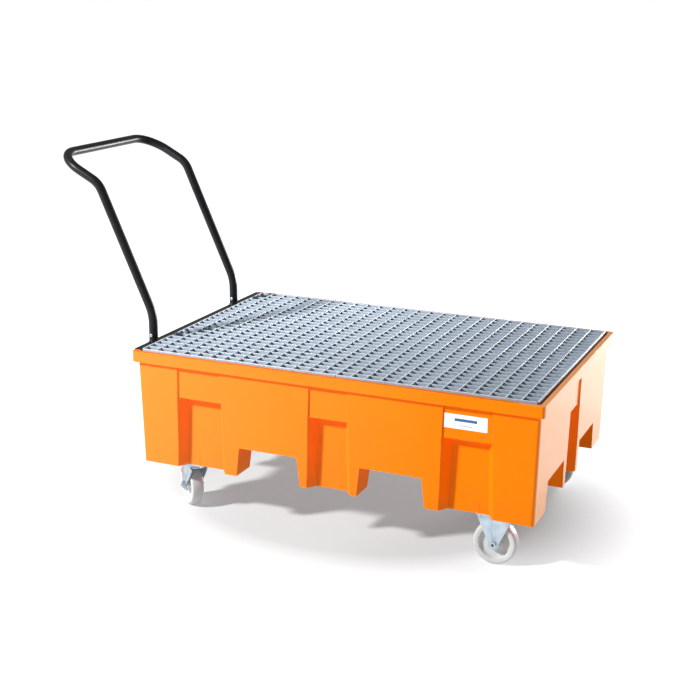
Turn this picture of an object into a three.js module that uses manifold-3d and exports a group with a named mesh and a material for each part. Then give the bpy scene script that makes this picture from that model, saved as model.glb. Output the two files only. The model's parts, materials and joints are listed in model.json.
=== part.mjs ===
// Mobile sump trolley for drums: a moulded plastic spill tray on four casters, with a lift-out
// steel grating and a bent tube push handle. Millimetres, +Z up, +X is the pushing direction.
// The origin is on the floor, under the middle of the whole trolley.
import * as THREE from "three";
import { mergeVertices } from "three/addons/utils/BufferGeometryUtils.js";
import Module from "manifold-3d";

const wasm = await Module();
wasm.setup();

// ---- Driving dimensions ------------------------------------------------------------------

const GAP = 0.3; // left between pieces that touch

// Tray, measured from the middle of its plan and the underside of its feet
const TRAY_HALF_LENGTH = 617.5;
const TRAY_HALF_WIDTH = 407.5;
const TRAY_HEIGHT = 344;
const RIM_HEIGHT = 32;
const FOOT_INSET_X = 19; // of the outer wall inside the rim, at the feet
const FOOT_INSET_Y = 21;
const TOP_INSET = 12; // of the outer wall inside the rim, at the top
const WALL = 6;
const LEDGE_WIDTH = 16;
const LEDGE_DEPTH = 16;
const OPENING_HALF_LENGTH = 603; // inside of the rim, where the grating drops in
const OPENING_HALF_WIDTH = 393;

// Fork channels: two run across the tray, two run along it, all open underneath
const CHANNEL_HEIGHT = 88;
const ACROSS_MID = 188; // from the tray's middle to the middle of each channel
const ACROSS_HALF_FOOT = 102.5; // half width at the feet, then at the ceiling
const ACROSS_HALF_TOP = 91.5;
const ALONG_MID = 177.5;
const ALONG_HALF_FOOT = 97;
const ALONG_HALF_TOP = 87;
const CROSSING_REACH = 229; // half diagonal of the diamond that trims the feet's inner corners

// Recesses in the outer walls: a deep lower part and a shallow upper part
const SIDE_RECESS_MIDS = [-406, 0, 406];
const SIDE_RECESS_OUTER = [79.5, 137 / 2]; // half widths at the feet: end recesses, middle one
const SIDE_RECESS_NARROWING = 7.5; // of each half width, at the step
const SIDE_RECESS_SPLAY = 20; // half width lost between the outer wall and the panel
const END_RECESS_OUTER = 63.5;
const RECESS_PANEL_DEPTH = 29;
const RECESS_STEP_HEIGHT = 215;
const SHALLOW_DEPTH = 4.5;
const SHALLOW_SPLAY = 4;
const CUT_MARGIN = 30; // how far a cutting solid runs out past the surface it cuts

// Grating
const GRATING_HALF_LENGTH = 595;
const GRATING_HALF_WIDTH = 387.5;
const GRATING_DEPTH = 30;
const GRATING_BAR = 3;
const BORDER_BAR = 4;
const BEARING_BARS = 23;
const CROSS_BARS = 3;
const CROSS_BAR_DEPTH = 10;
const GRATING_PROUD = 5; // of the rim

// Push handle and its mounting angle
const TUBE_R = 26.9 / 2;
const TUBE_WALL = 2.3;
const TUBE_SIDES = 12;
const HANDLE_HALF_SPACING = 256;
const TUBE_SUNK = 28; // how far the tube ends reach below the rim's top
const KINK = { height: 74, radius: 140 }; // heights above the rim's top
const ELBOW = { back: 173, height: 455, radius: 72 };
const CORNER = { back: 317, height: 531, radius: 86 };
const BEND_STEPS = 5;
const ANGLE_HALF_LENGTH = 386;
const ANGLE_THICKNESS = 3;
const ANGLE_TOP_WIDTH = 20;
const ANGLE_SKIRT = 30;
const SPIGOT = { wall: 2, rise: 46 }; // the stub inside each tube end, and its reach above the rim
const HANDLE_SCREW = { shank: 3, head: 5.4, headHeight: 3 };
const LOCK_SCREW_RISE = 10; // above the rim's top
const TRAY_SCREW_DROP = 16; // below the rim's top

// Label
const LABEL = { length: 121, height: 41, thickness: 0.6, midX: 401, midZ: 265.5 };

// Casters
const FIXED_CASTER_X = 475.5;
const SWIVEL_CASTER_X = 467.5;
const CASTER_Y = 312.5;
const CASTER_HEIGHT = 155;
const WHEEL_R = 62.5;
const WHEEL_HALF_WIDTH = 19;
const HUB_HALF_WIDTH = 21;
const TRAIL = 38;
const PLATE_LENGTH = 105;
const PLATE_WIDTH = 85;
const PLATE_THICKNESS = 4;
const BOLT_PITCH_X = 80;
const BOLT_PITCH_Y = 67;
const BOLT = { shank: 4, head: 7.5, headHeight: 5.3, reach: 16 };
const BOSS = { radius: 14, height: 22 };
const FORK_INNER = 22.6; // half gap between the fork's legs
const FORK_SHEET = 3;
const FORK_BEND = 6;
const FORK_FOOT_R = 16; // round end of each leg, about the axle
const FORK_SHOULDER = 12; // upright part of a leg's edge, under the bridge
const FORK_LEAN = 14; // degrees that a leg's edges lean where they meet the round end
const FIXED_FORK = { halfTop: 49, halfWaist: 33, waist: 38 }; // half widths, height over the axle
const SWIVEL_FORK_HALF_TOP = 35;
const SWIVEL_BRIDGE = 14; // depth of the swivel fork's bridge below the plate's top
const RACE = { inner: 24, outer: 37, groove: 3 };
const KINGPIN_NUT = { radius: 9.5, height: 6 };
const AXLE = { shank: 6, bush: 10, head: 10.4, headHeight: 7 };
const WEB_HALF = 8; // half thickness of a wheel's web
const TREAD_INNER_R = 45; // inside of the thick tread ring
const TREAD_ROUND = 7; // width and depth of the tread's rounded edge
const REST_TURN = { right: 42, left: 10 }; // degrees that the swivel casters stand turned at rest

// How finely round things are made
const SIDES = { hexagon: 6, hole: 8, boss: 10, bore: 12, plain: 16, crown: 24, wheel: 28 };

const SKIRT_BACK = GAP + ANGLE_THICKNESS; // outer face of the angle's skirt, behind the rim
const TUBE_BACK = SKIRT_BACK + GAP + TUBE_R; // middle of the tube ends, behind the rim
const OVERALL_BACK = TRAY_HALF_LENGTH + TUBE_BACK + CORNER.back + TUBE_R;
const TRAY_X = (OVERALL_BACK - TRAY_HALF_LENGTH) / 2; // of the tray's middle in the trolley's frame

// ---- Materials ---------------------------------------------------------------------------

const finish = (color, roughness, metalness) =>
  new THREE.MeshStandardMaterial({ color, roughness, metalness });

const ORANGE_PLASTIC = finish(0xff8a0a, 0.45, 0);
const GALVANISED_STEEL = finish(0xbcc6cf, 0.4, 0.9);
const BLACK_COAT = finish(0x26272a, 0.35, 0.1);
const ZINC_PLATE = finish(0xb4c3cd, 0.3, 0.9);
const WHITE_NYLON = finish(0xe9e9e6, 0.4, 0);
const WHITE_LABEL = finish(0xf4f4f2, 0.35, 0);

// ---- Solids ------------------------------------------------------------------------------

// A closed geometry as a manifold solid.
function solid(geometry) {
  const bare = geometry.clone();
  bare.deleteAttribute("normal");
  bare.deleteAttribute("uv");
  const merged = mergeVertices(bare, 1e-4);
  return new wasm.Manifold(
    new wasm.Mesh({
      numProp: 3,
      vertProperties: merged.attributes.position.array,
      triVerts: new Uint32Array(merged.index.array),
    }),
  );
}

// A manifold solid as a geometry.
function geometryOf(body) {
  const mesh = body.getMesh();
  const geometry = new THREE.BufferGeometry();
  geometry.setAttribute("position", new THREE.BufferAttribute(mesh.vertProperties, 3));
  geometry.setIndex(new THREE.BufferAttribute(mesh.triVerts, 1));
  geometry.computeVertexNormals();
  return geometry;
}

const joined = (bodies) => bodies.reduce((all, body) => all.add(body));
const without = (body, cuts) => body.subtract(joined(cuts));

// A box between two corners.
function block([x0, y0, z0], [x1, y1, z1]) {
  const geometry = new THREE.BoxGeometry(x1 - x0, y1 - y0, z1 - z0);
  return solid(geometry.translate((x0 + x1) / 2, (y0 + y1) / 2, (z0 + z1) / 2));
}

// A tapering prism: two outlines with the same number of corners, counter-clockwise seen from above.
function loft(lower, upper, z0, z1) {
  const count = lower.length;
  const caps = THREE.ShapeUtils.triangulateShape(lower.map(([x, y]) => new THREE.Vector2(x, y)), []);
  const positions = [
    ...lower.flatMap(([x, y]) => [x, y, z0]),
    ...upper.flatMap(([x, y]) => [x, y, z1]),
  ];
  const faces = [];
  for (const [a, b, c] of caps) {
    faces.push(a, c, b);
    faces.push(a + count, b + count, c + count);
  }
  for (let i = 0; i < count; i += 1) {
    const next = (i + 1) % count;
    faces.push(i, next, next + count);
    faces.push(i, next + count, i + count);
  }
  const geometry = new THREE.BufferGeometry();
  geometry.setAttribute("position", new THREE.Float32BufferAttribute(positions, 3));
  geometry.setIndex(faces);
  return solid(geometry);
}

const rectangle = (halfX, halfY, midX = 0, midY = 0) => [
  [midX - halfX, midY - halfY],
  [midX + halfX, midY - halfY],
  [midX + halfX, midY + halfY],
  [midX - halfX, midY + halfY],
];

// A cylinder, or a hexagon prism with six sides, standing on z0.
function round(radius, z0, z1, sides = SIDES.plain) {
  const geometry = new THREE.CylinderGeometry(radius, radius, z1 - z0, sides);
  return solid(geometry.rotateX(Math.PI / 2).translate(0, 0, (z0 + z1) / 2));
}

// A body of revolution about Z; its profile of [radius, z] runs with its outside on the right.
function turned(profile, sides) {
  const points = profile.map(([r, z]) => new THREE.Vector2(r, z));
  return solid(new THREE.LatheGeometry(points, sides).rotateX(Math.PI / 2));
}

// An outline in the XZ plane, carried from y0 to y1.
function sideways(outline, y0, y1) {
  const shape = outline instanceof THREE.Shape
    ? outline
    : new THREE.Shape(outline.map(([x, z]) => new THREE.Vector2(x, z)));
  const geometry = new THREE.ExtrudeGeometry(shape, {
    depth: y1 - y0,
    bevelEnabled: false,
    curveSegments: 6,
  });
  return solid(geometry.rotateX(Math.PI / 2).translate(0, y1, 0));
}

// ---- Assembly helpers --------------------------------------------------------------------

const trolley = new THREE.Group();

function addPiece(parent, name, body, material) {
  const mesh = new THREE.Mesh(geometryOf(body), material);
  mesh.name = name;
  parent.add(mesh);
  return mesh;
}

function addFrame(parent, x, y, z, turn = 0) {
  const frame = new THREE.Group();
  frame.position.set(x, y, z);
  frame.rotation.z = THREE.MathUtils.degToRad(turn);
  parent.add(frame);
  return frame;
}

// The tray's own frame: the middle of its plan, at the underside of its feet.
const trayFrame = addFrame(trolley, TRAY_X, 0, CASTER_HEIGHT);

// ---- Tray --------------------------------------------------------------------------------

// Half size of the outer wall at a height, along X or Y.
function wallAt(z, half, footInset) {
  return half - footInset + ((footInset - TOP_INSET) * z) / TRAY_HEIGHT;
}

// The fork channels, grown on every side by the given wall.
function channels(grow) {
  const top = CHANNEL_HEIGHT + grow;
  const past = CUT_MARGIN;
  const under = -CUT_MARGIN / 3; // start of the cuts, below the feet
  const cuts = [];
  for (const side of [-1, 1]) {
    cuts.push(
      loft(
        rectangle(ACROSS_HALF_FOOT + grow, TRAY_HALF_WIDTH + past, side * ACROSS_MID),
        rectangle(ACROSS_HALF_TOP + grow, TRAY_HALF_WIDTH + past, side * ACROSS_MID),
        under,
        top,
      ),
      loft(
        rectangle(TRAY_HALF_LENGTH + past, ALONG_HALF_FOOT + grow, 0, side * ALONG_MID),
        rectangle(TRAY_HALF_LENGTH + past, ALONG_HALF_TOP + grow, 0, side * ALONG_MID),
        under,
        top,
      ),
    );
  }
  for (const sideX of [-1, 1]) {
    for (const sideY of [-1, 1]) {
      const reach = CROSSING_REACH + grow;
      const diamond = (r) => [
        [sideX * ACROSS_MID - r, sideY * ALONG_MID],
        [sideX * ACROSS_MID, sideY * ALONG_MID - r],
        [sideX * ACROSS_MID + r, sideY * ALONG_MID],
        [sideX * ACROSS_MID, sideY * ALONG_MID + r],
      ];
      cuts.push(loft(diamond(reach), diamond(reach - CUT_MARGIN / 2), under, top));
    }
  }
  return cuts;
}

// One recess in the wall that faces -Y, in the middle of its own frame, grown by the given wall.
function recess(halfOuter, footInset, grow) {
  const wall = (z) => TRAY_HALF_WIDTH - wallAt(z, TRAY_HALF_WIDTH, footInset);
  const outline = (half, surface, depth, splay) => {
    const flare = (splay * (surface + CUT_MARGIN)) / (depth - surface);
    return [
      [-half - flare - grow, -CUT_MARGIN],
      [half + flare + grow, -CUT_MARGIN],
      [half - splay + grow, depth + grow],
      [-half + splay - grow, depth + grow],
    ];
  };
  const shallowOutline = (half, z) => outline(half, wall(z), wall(z) + SHALLOW_DEPTH, SHALLOW_SPLAY / 2);
  const panel = wall(0) + RECESS_PANEL_DEPTH;
  const upper = halfOuter - SIDE_RECESS_NARROWING;
  const deep = loft(
    outline(halfOuter, wall(0), panel, SIDE_RECESS_SPLAY),
    outline(upper, wall(RECESS_STEP_HEIGHT), panel, SIDE_RECESS_SPLAY),
    -CUT_MARGIN,
    RECESS_STEP_HEIGHT + grow,
  );
  const shallowFrom = RECESS_STEP_HEIGHT - CUT_MARGIN;
  const shallowTo = TRAY_HEIGHT - RIM_HEIGHT;
  const shallow = loft(
    shallowOutline(upper, shallowFrom),
    shallowOutline(upper - SHALLOW_SPLAY, shallowTo),
    shallowFrom,
    shallowTo,
  );
  return deep.add(shallow);
}

// Every recess of the tray, placed on its wall.
function recesses(grow) {
  const cuts = [];
  for (const turn of [0, 180]) {
    for (const midX of SIDE_RECESS_MIDS) {
      const half = SIDE_RECESS_OUTER[midX === 0 ? 1 : 0];
      const cut = recess(half, FOOT_INSET_Y, grow).translate([midX, -TRAY_HALF_WIDTH, 0]);
      cuts.push(cut.rotate([0, 0, turn]));
    }
  }
  for (const turn of [90, 270]) {
    const cut = recess(END_RECESS_OUTER, FOOT_INSET_X, grow).translate([0, -TRAY_HALF_LENGTH, 0]);
    cuts.push(cut.rotate([0, 0, turn]));
  }
  return cuts;
}

// The places of a caster's four bolts about its middle.
const boltPlaces = [-1, 1].flatMap((sx) =>
  [-1, 1].map((sy) => [(sx * BOLT_PITCH_X) / 2, (sy * BOLT_PITCH_Y) / 2]),
);

const casterPlaces = [
  { name: "front_right", x: FIXED_CASTER_X, y: -CASTER_Y, turn: 0, swivels: false },
  { name: "front_left", x: FIXED_CASTER_X, y: CASTER_Y, turn: 0, swivels: false },
  { name: "rear_right", x: -SWIVEL_CASTER_X, y: -CASTER_Y, turn: -REST_TURN.right, swivels: true },
  { name: "rear_left", x: -SWIVEL_CASTER_X, y: CASTER_Y, turn: -REST_TURN.left, swivels: true },
];

function sumpTray() {
  const outside = (inset, z) => [
    wallAt(z, TRAY_HALF_LENGTH, FOOT_INSET_X) - inset,
    wallAt(z, TRAY_HALF_WIDTH, FOOT_INSET_Y) - inset,
  ];
  const shell = loft(
    rectangle(...outside(0, 0)),
    rectangle(...outside(0, TRAY_HEIGHT)),
    0,
    TRAY_HEIGHT,
  );
  const cavity = loft(
    rectangle(...outside(WALL, WALL)),
    rectangle(...outside(WALL, TRAY_HEIGHT)),
    WALL,
    TRAY_HEIGHT,
  );
  const inside = without(cavity, [...channels(WALL), ...recesses(WALL)]);
  const rim = block(
    [-TRAY_HALF_LENGTH, -TRAY_HALF_WIDTH, TRAY_HEIGHT - RIM_HEIGHT],
    [TRAY_HALF_LENGTH, TRAY_HALF_WIDTH, TRAY_HEIGHT],
  );
  const ledgeTop = TRAY_HEIGHT + GRATING_PROUD - GRATING_DEPTH - GAP;
  const opening = loft(
    rectangle(OPENING_HALF_LENGTH, OPENING_HALF_WIDTH),
    rectangle(OPENING_HALF_LENGTH, OPENING_HALF_WIDTH),
    ledgeTop,
    TRAY_HEIGHT + 1,
  );
  const ledgeWell = loft(
    rectangle(OPENING_HALF_LENGTH - LEDGE_WIDTH, OPENING_HALF_WIDTH - LEDGE_WIDTH),
    rectangle(OPENING_HALF_LENGTH - LEDGE_WIDTH, OPENING_HALF_WIDTH - LEDGE_WIDTH),
    ledgeTop - LEDGE_DEPTH,
    ledgeTop + 1,
  );
  const walls = without(shell, [...channels(0), ...recesses(0)]).add(rim);
  const well = inside.subtract(
    block(
      [-TRAY_HALF_LENGTH, -TRAY_HALF_WIDTH, ledgeTop - LEDGE_DEPTH],
      [TRAY_HALF_LENGTH, TRAY_HALF_WIDTH, TRAY_HEIGHT + 1],
    ),
  );
  const bosses = [];
  const holes = [];
  for (const caster of casterPlaces) {
    for (const [dx, dy] of boltPlaces) {
      const place = [caster.x + dx, caster.y + dy, 0];
      bosses.push(round(BOSS.radius, WALL / 2, BOSS.height, SIDES.boss).translate(place));
      holes.push(round(BOLT.shank + GAP, -1, BOLT.reach + 1, SIDES.hole).translate(place));
    }
  }
  for (const side of [-1, 1]) {
    const hole = round(HANDLE_SCREW.shank + GAP, -1, TOP_INSET + WALL, SIDES.hole);
    const place = [-TRAY_HALF_LENGTH, side * HANDLE_HALF_SPACING, TRAY_HEIGHT - TRAY_SCREW_DROP];
    holes.push(hole.rotate([0, 90, 0]).translate(place));
  }
  const hollowed = without(walls, [well, opening, ledgeWell]);
  return without(joined([hollowed, ...bosses]), holes);
}

addPiece(trayFrame, "sump_tray", sumpTray(), ORANGE_PLASTIC);

// ---- Label on the shallow panel over the front recess of the right-hand wall -------------

const wallLean = Math.atan((FOOT_INSET_Y - TOP_INSET) / TRAY_HEIGHT);
const labelWallY = -wallAt(LABEL.midZ, TRAY_HALF_WIDTH, FOOT_INSET_Y) + SHALLOW_DEPTH;
const labelFrame = addFrame(trayFrame, LABEL.midX, labelWallY - GAP, LABEL.midZ);
labelFrame.rotation.x = wallLean;
addPiece(
  labelFrame,
  "label_plate",
  block(
    [-LABEL.length / 2, -LABEL.thickness, -LABEL.height / 2],
    [LABEL.length / 2, 0, LABEL.height / 2],
  ),
  WHITE_LABEL,
);

// ---- Grating -----------------------------------------------------------------------------

function grating() {
  const top = TRAY_HEIGHT + GRATING_PROUD;
  const bottom = top - GRATING_DEPTH;
  const frame = block(
    [-GRATING_HALF_LENGTH, -GRATING_HALF_WIDTH, bottom],
    [GRATING_HALF_LENGTH, GRATING_HALF_WIDTH, top],
  );
  const hole = block(
    [BORDER_BAR - GRATING_HALF_LENGTH, BORDER_BAR - GRATING_HALF_WIDTH, bottom - 1],
    [GRATING_HALF_LENGTH - BORDER_BAR, GRATING_HALF_WIDTH - BORDER_BAR, top + 1],
  );
  const bars = [];
  const pitch = (2 * GRATING_HALF_WIDTH - BORDER_BAR) / (BEARING_BARS + 1);
  const reachX = GRATING_HALF_LENGTH - BORDER_BAR / 2;
  for (let i = 1; i <= BEARING_BARS; i += 1) {
    const y = -GRATING_HALF_WIDTH + BORDER_BAR / 2 + i * pitch;
    bars.push(block([-reachX, y - GRATING_BAR / 2, bottom + 1], [reachX, y + GRATING_BAR / 2, top - 1]));
  }
  const step = (2 * GRATING_HALF_LENGTH - BORDER_BAR) / (CROSS_BARS + 1);
  const reachY = GRATING_HALF_WIDTH - BORDER_BAR / 2;
  for (let i = 1; i <= CROSS_BARS; i += 1) {
    const x = -GRATING_HALF_LENGTH + BORDER_BAR / 2 + i * step;
    bars.push(
      block(
        [x - GRATING_BAR / 2, -reachY, top - 2 - CROSS_BAR_DEPTH],
        [x + GRATING_BAR / 2, reachY, top - 2],
      ),
    );
  }
  return joined([frame.subtract(hole), ...bars]);
}

addPiece(trayFrame, "grating", grating(), GALVANISED_STEEL);

// ---- Push handle -------------------------------------------------------------------------

// A tube's centreline: straight runs with round bends. Its stations are the ends of the runs and
// a few steps round each bend, so that straight runs stay in one piece.
class BentLine extends THREE.Curve {
  constructor(corners, radii) {
    super();
    this.stations = [{ point: corners[0], tangent: corners[1].clone().sub(corners[0]).normalize() }];
    corners.slice(1, -1).forEach((corner, i) => {
      const into = corner.clone().sub(corners[i]).normalize();
      const away = corners[i + 2].clone().sub(corner).normalize();
      const turn = into.angleTo(away);
      const setback = radii[i] * Math.tan(turn / 2);
      const start = corner.clone().addScaledVector(into, -setback);
      const inward = away.clone().addScaledVector(into, -away.dot(into)).normalize();
      for (let k = 0; k <= BEND_STEPS; k += 1) {
        const a = (turn * k) / BEND_STEPS;
        this.stations.push({
          point: start
            .clone()
            .addScaledVector(into, radii[i] * Math.sin(a))
            .addScaledVector(inward, radii[i] * (1 - Math.cos(a))),
          tangent: into.clone().multiplyScalar(Math.cos(a)).addScaledVector(inward, Math.sin(a)),
        });
      }
    });
    const last = corners[corners.length - 1];
    const before = corners[corners.length - 2];
    this.stations.push({ point: last, tangent: last.clone().sub(before).normalize() });
  }

  get steps() {
    return this.stations.length - 1;
  }

  station(u) {
    return this.stations[Math.round(u * this.steps)];
  }

  getPointAt(u) {
    return this.station(u).point.clone();
  }

  getTangentAt(u) {
    return this.station(u).tangent.clone();
  }
}

// The cross holes of one tube end: a lock screw's along Y, and the tray bolt's along X.
function tubeHoles(side) {
  const hole = round(HANDLE_SCREW.shank + GAP, 0, CUT_MARGIN, SIDES.hole);
  const x = -TRAY_HALF_LENGTH - TUBE_BACK;
  const y = side * HANDLE_HALF_SPACING;
  return [
    hole.rotate([90, 0, 0]).translate([x, y, TRAY_HEIGHT + LOCK_SCREW_RISE]),
    hole
      .rotate([0, 90, 0])
      .translate([x - CUT_MARGIN / 2, y, TRAY_HEIGHT - TRAY_SCREW_DROP]),
  ];
}

function handleBow() {
  const at = (back, side, height) =>
    new THREE.Vector3(-TRAY_HALF_LENGTH - back, side * HANDLE_HALF_SPACING, TRAY_HEIGHT + height);
  const half = (side) => [
    at(TUBE_BACK, side, -TUBE_SUNK),
    at(TUBE_BACK, side, KINK.height),
    at(TUBE_BACK + ELBOW.back, side, ELBOW.height),
    at(TUBE_BACK + CORNER.back, side, CORNER.height),
  ];
  const radii = [KINK.radius, ELBOW.radius, CORNER.radius];
  const line = new BentLine([...half(-1), ...half(1).reverse()], [...radii, ...[...radii].reverse()]);
  const ring = (radius) =>
    Array.from({ length: TUBE_SIDES }, (_, i) => {
      const a = (2 * Math.PI * i) / TUBE_SIDES;
      return new THREE.Vector2(radius * Math.cos(a), radius * Math.sin(a));
    });
  const section = new THREE.Shape(ring(TUBE_R));
  section.holes.push(new THREE.Path(ring(TUBE_R - TUBE_WALL)));
  const options = { steps: line.steps, extrudePath: line, bevelEnabled: false };
  const tube = solid(new THREE.ExtrudeGeometry(section, options));
  return without(tube, [...tubeHoles(-1), ...tubeHoles(1)]);
}

// The stub that a tube end is pushed over.
function spigot(side) {
  const outer = (TUBE_R - TUBE_WALL) * Math.cos(Math.PI / TUBE_SIDES) - GAP;
  const [bottom, top] = [-TUBE_SUNK, SPIGOT.rise];
  const inner = round(outer - SPIGOT.wall, bottom - 1, top + 1, SIDES.bore);
  const place = [-TRAY_HALF_LENGTH - TUBE_BACK, side * HANDLE_HALF_SPACING, TRAY_HEIGHT];
  const stub = round(outer, bottom, top, SIDES.bore).subtract(inner).translate(place);
  return without(stub, tubeHoles(side));
}

// The black angle that lies on the rear rim: a top flange, and a skirt behind the rim.
function mountAngle() {
  const back = -TRAY_HALF_LENGTH - SKIRT_BACK;
  const top = TRAY_HEIGHT + GAP + ANGLE_THICKNESS;
  const front = -TRAY_HALF_LENGTH + ANGLE_TOP_WIDTH;
  const skirtFront = back + ANGLE_THICKNESS;
  const profile = [
    [back, TRAY_HEIGHT - ANGLE_SKIRT],
    [skirtFront, TRAY_HEIGHT - ANGLE_SKIRT],
    [skirtFront, top - ANGLE_THICKNESS],
    [front, top - ANGLE_THICKNESS],
    [front, top],
    [back, top],
  ];
  const angle = sideways(profile, -ANGLE_HALF_LENGTH, ANGLE_HALF_LENGTH);
  const holes = [-1, 1].map((side) =>
    round(HANDLE_SCREW.shank + GAP, -CUT_MARGIN / 3, CUT_MARGIN / 3, SIDES.hole)
      .rotate([0, 90, 0])
      .translate([back, side * HANDLE_HALF_SPACING, TRAY_HEIGHT - TRAY_SCREW_DROP]),
  );
  return without(angle, holes);
}

addPiece(trayFrame, "handle_mount_angle", mountAngle(), BLACK_COAT);
addPiece(trayFrame, "push_handle", handleBow(), BLACK_COAT);

// A screw along +Z: its head starts at z = 0 and stands up, its shank hangs down.
function screw({ shank, head, headHeight }, length, headSides) {
  const stem = round(shank, -length, headHeight / 2, SIDES.hole);
  return stem.add(round(head, 0, headHeight, headSides));
}

for (const [side, label] of [[-1, "right"], [1, "left"]]) {
  const x = -TRAY_HALF_LENGTH - TUBE_BACK;
  const y = side * HANDLE_HALF_SPACING;
  addPiece(trayFrame, "handle_spigot_" + label, spigot(side), BLACK_COAT);
  addPiece(
    addFrame(trayFrame, x, y - TUBE_R - GAP, TRAY_HEIGHT + LOCK_SCREW_RISE),
    "handle_screw_" + label,
    screw(HANDLE_SCREW, TUBE_R, SIDES.bore).rotate([90, 0, 0]),
    ZINC_PLATE,
  );
  addPiece(
    addFrame(trayFrame, x - TUBE_R - GAP, y, TRAY_HEIGHT - TRAY_SCREW_DROP),
    "handle_bolt_" + label,
    screw(HANDLE_SCREW, TUBE_R * 2 + SKIRT_BACK + TOP_INSET, SIDES.hexagon).rotate([0, -90, 0]),
    ZINC_PLATE,
  );
}

// ---- Casters -----------------------------------------------------------------------------

// All caster solids are made about the middle of the plate's top face, z downwards negative.
const AXLE_DROP = CASTER_HEIGHT - WHEEL_R;

function plateWithHoles(holeRadius) {
  const plate = loft(
    rectangle(PLATE_LENGTH / 2, PLATE_WIDTH / 2),
    rectangle(PLATE_LENGTH / 2, PLATE_WIDTH / 2),
    -PLATE_THICKNESS,
    -GAP,
  );
  const holes = boltPlaces.map(([x, y]) =>
    round(BOLT.shank + GAP, -PLATE_THICKNESS - 1, 1, SIDES.hole).translate([x, y, 0]),
  );
  if (holeRadius) holes.push(round(holeRadius, -PLATE_THICKNESS - 1, 1));
  return without(plate, holes);
}

// The outline of a fork seen from the side, from its bridge down round the axle. A waist narrows
// the legs of a fork that is wide at the top.
function forkOutline({ top, halfTop, axleX, waist = [] }) {
  const shape = new THREE.Shape();
  const lean = THREE.MathUtils.degToRad(FORK_LEAN);
  const reach = FORK_FOOT_R * Math.cos(lean);
  const shoulder = top - FORK_SHOULDER;
  shape.moveTo(-halfTop, top);
  shape.lineTo(-halfTop, shoulder);
  waist.forEach(([half, z]) => shape.lineTo(-half, z));
  shape.lineTo(axleX - reach, -AXLE_DROP + FORK_FOOT_R * Math.sin(lean));
  shape.absarc(axleX, -AXLE_DROP, FORK_FOOT_R, Math.PI - lean, 2 * Math.PI + lean, false);
  waist.forEach(([half, z]) => shape.lineTo(half, z));
  shape.lineTo(halfTop, shoulder);
  shape.lineTo(halfTop, top);
  shape.closePath();
  return shape;
}

// A bent sheet fork: a channel section with rounded shoulders, trimmed to the side outline.
function forkSheet(outline, top, reachX) {
  const outer = FORK_INNER + FORK_SHEET;
  const section = new THREE.Shape();
  const foot = -AXLE_DROP - CUT_MARGIN;
  section.moveTo(-outer, foot);
  section.lineTo(-FORK_INNER, foot);
  section.lineTo(-FORK_INNER, top - FORK_SHEET);
  section.lineTo(FORK_INNER, top - FORK_SHEET);
  section.lineTo(FORK_INNER, foot);
  section.lineTo(outer, foot);
  section.lineTo(outer, top - FORK_BEND);
  section.absarc(outer - FORK_BEND, top - FORK_BEND, FORK_BEND, 0, Math.PI / 2, false);
  section.lineTo(-outer + FORK_BEND, top);
  section.absarc(-outer + FORK_BEND, top - FORK_BEND, FORK_BEND, Math.PI / 2, Math.PI, false);
  section.closePath();
  const channel = new THREE.ExtrudeGeometry(section, {
    depth: 2 * reachX,
    bevelEnabled: false,
    curveSegments: 3,
  });
  channel.rotateX(Math.PI / 2).rotateZ(Math.PI / 2).translate(-reachX, 0, 0);
  return solid(channel).intersect(sideways(outline, -2 * outer, 2 * outer));
}

const axleHole = (x, radius) =>
  round(radius, -CUT_MARGIN, CUT_MARGIN, SIDES.bore).rotate([90, 0, 0]).translate([x, 0, -AXLE_DROP]);

function fixedFork() {
  const top = -PLATE_THICKNESS + 1;
  const waist = [[FIXED_FORK.halfWaist, FIXED_FORK.waist - AXLE_DROP]];
  const outline = forkOutline({ top, halfTop: FIXED_FORK.halfTop, axleX: 0, waist });
  const legs = forkSheet(outline, top, PLATE_LENGTH / 2);
  return plateWithHoles().add(legs).subtract(axleHole(0, AXLE.shank + GAP));
}

function swivelFork() {
  const top = -SWIVEL_BRIDGE;
  const outline = forkOutline({ top, halfTop: SWIVEL_FORK_HALF_TOP, axleX: -TRAIL });
  const legs = forkSheet(outline, top, PLATE_LENGTH);
  const crown = round(RACE.outer, top - FORK_SHEET, top, SIDES.crown);
  const bore = round(AXLE.shank + GAP, top - CUT_MARGIN, top + 1, SIDES.bore);
  return without(legs.add(crown), [bore, axleHole(-TRAIL, AXLE.shank + GAP)]);
}

function raceRing() {
  const top = -PLATE_THICKNESS - GAP;
  const bottom = -SWIVEL_BRIDGE + GAP;
  const mid = (top + bottom) / 2;
  return turned(
    [
      [RACE.inner, bottom],
      [RACE.outer - RACE.groove, bottom],
      [RACE.outer, mid],
      [RACE.outer - RACE.groove, top],
      [RACE.inner, top],
      [RACE.inner, bottom],
    ],
    SIDES.wheel,
  );
}

function kingpin() {
  const underBridge = -SWIVEL_BRIDGE - FORK_SHEET - GAP;
  return turned(
    [
      [0, underBridge - KINGPIN_NUT.height],
      [KINGPIN_NUT.radius, underBridge - KINGPIN_NUT.height],
      [KINGPIN_NUT.radius, underBridge],
      [AXLE.shank, underBridge],
      [AXLE.shank, -1],
      [0, -1],
    ],
    SIDES.bore,
  );
}

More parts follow.
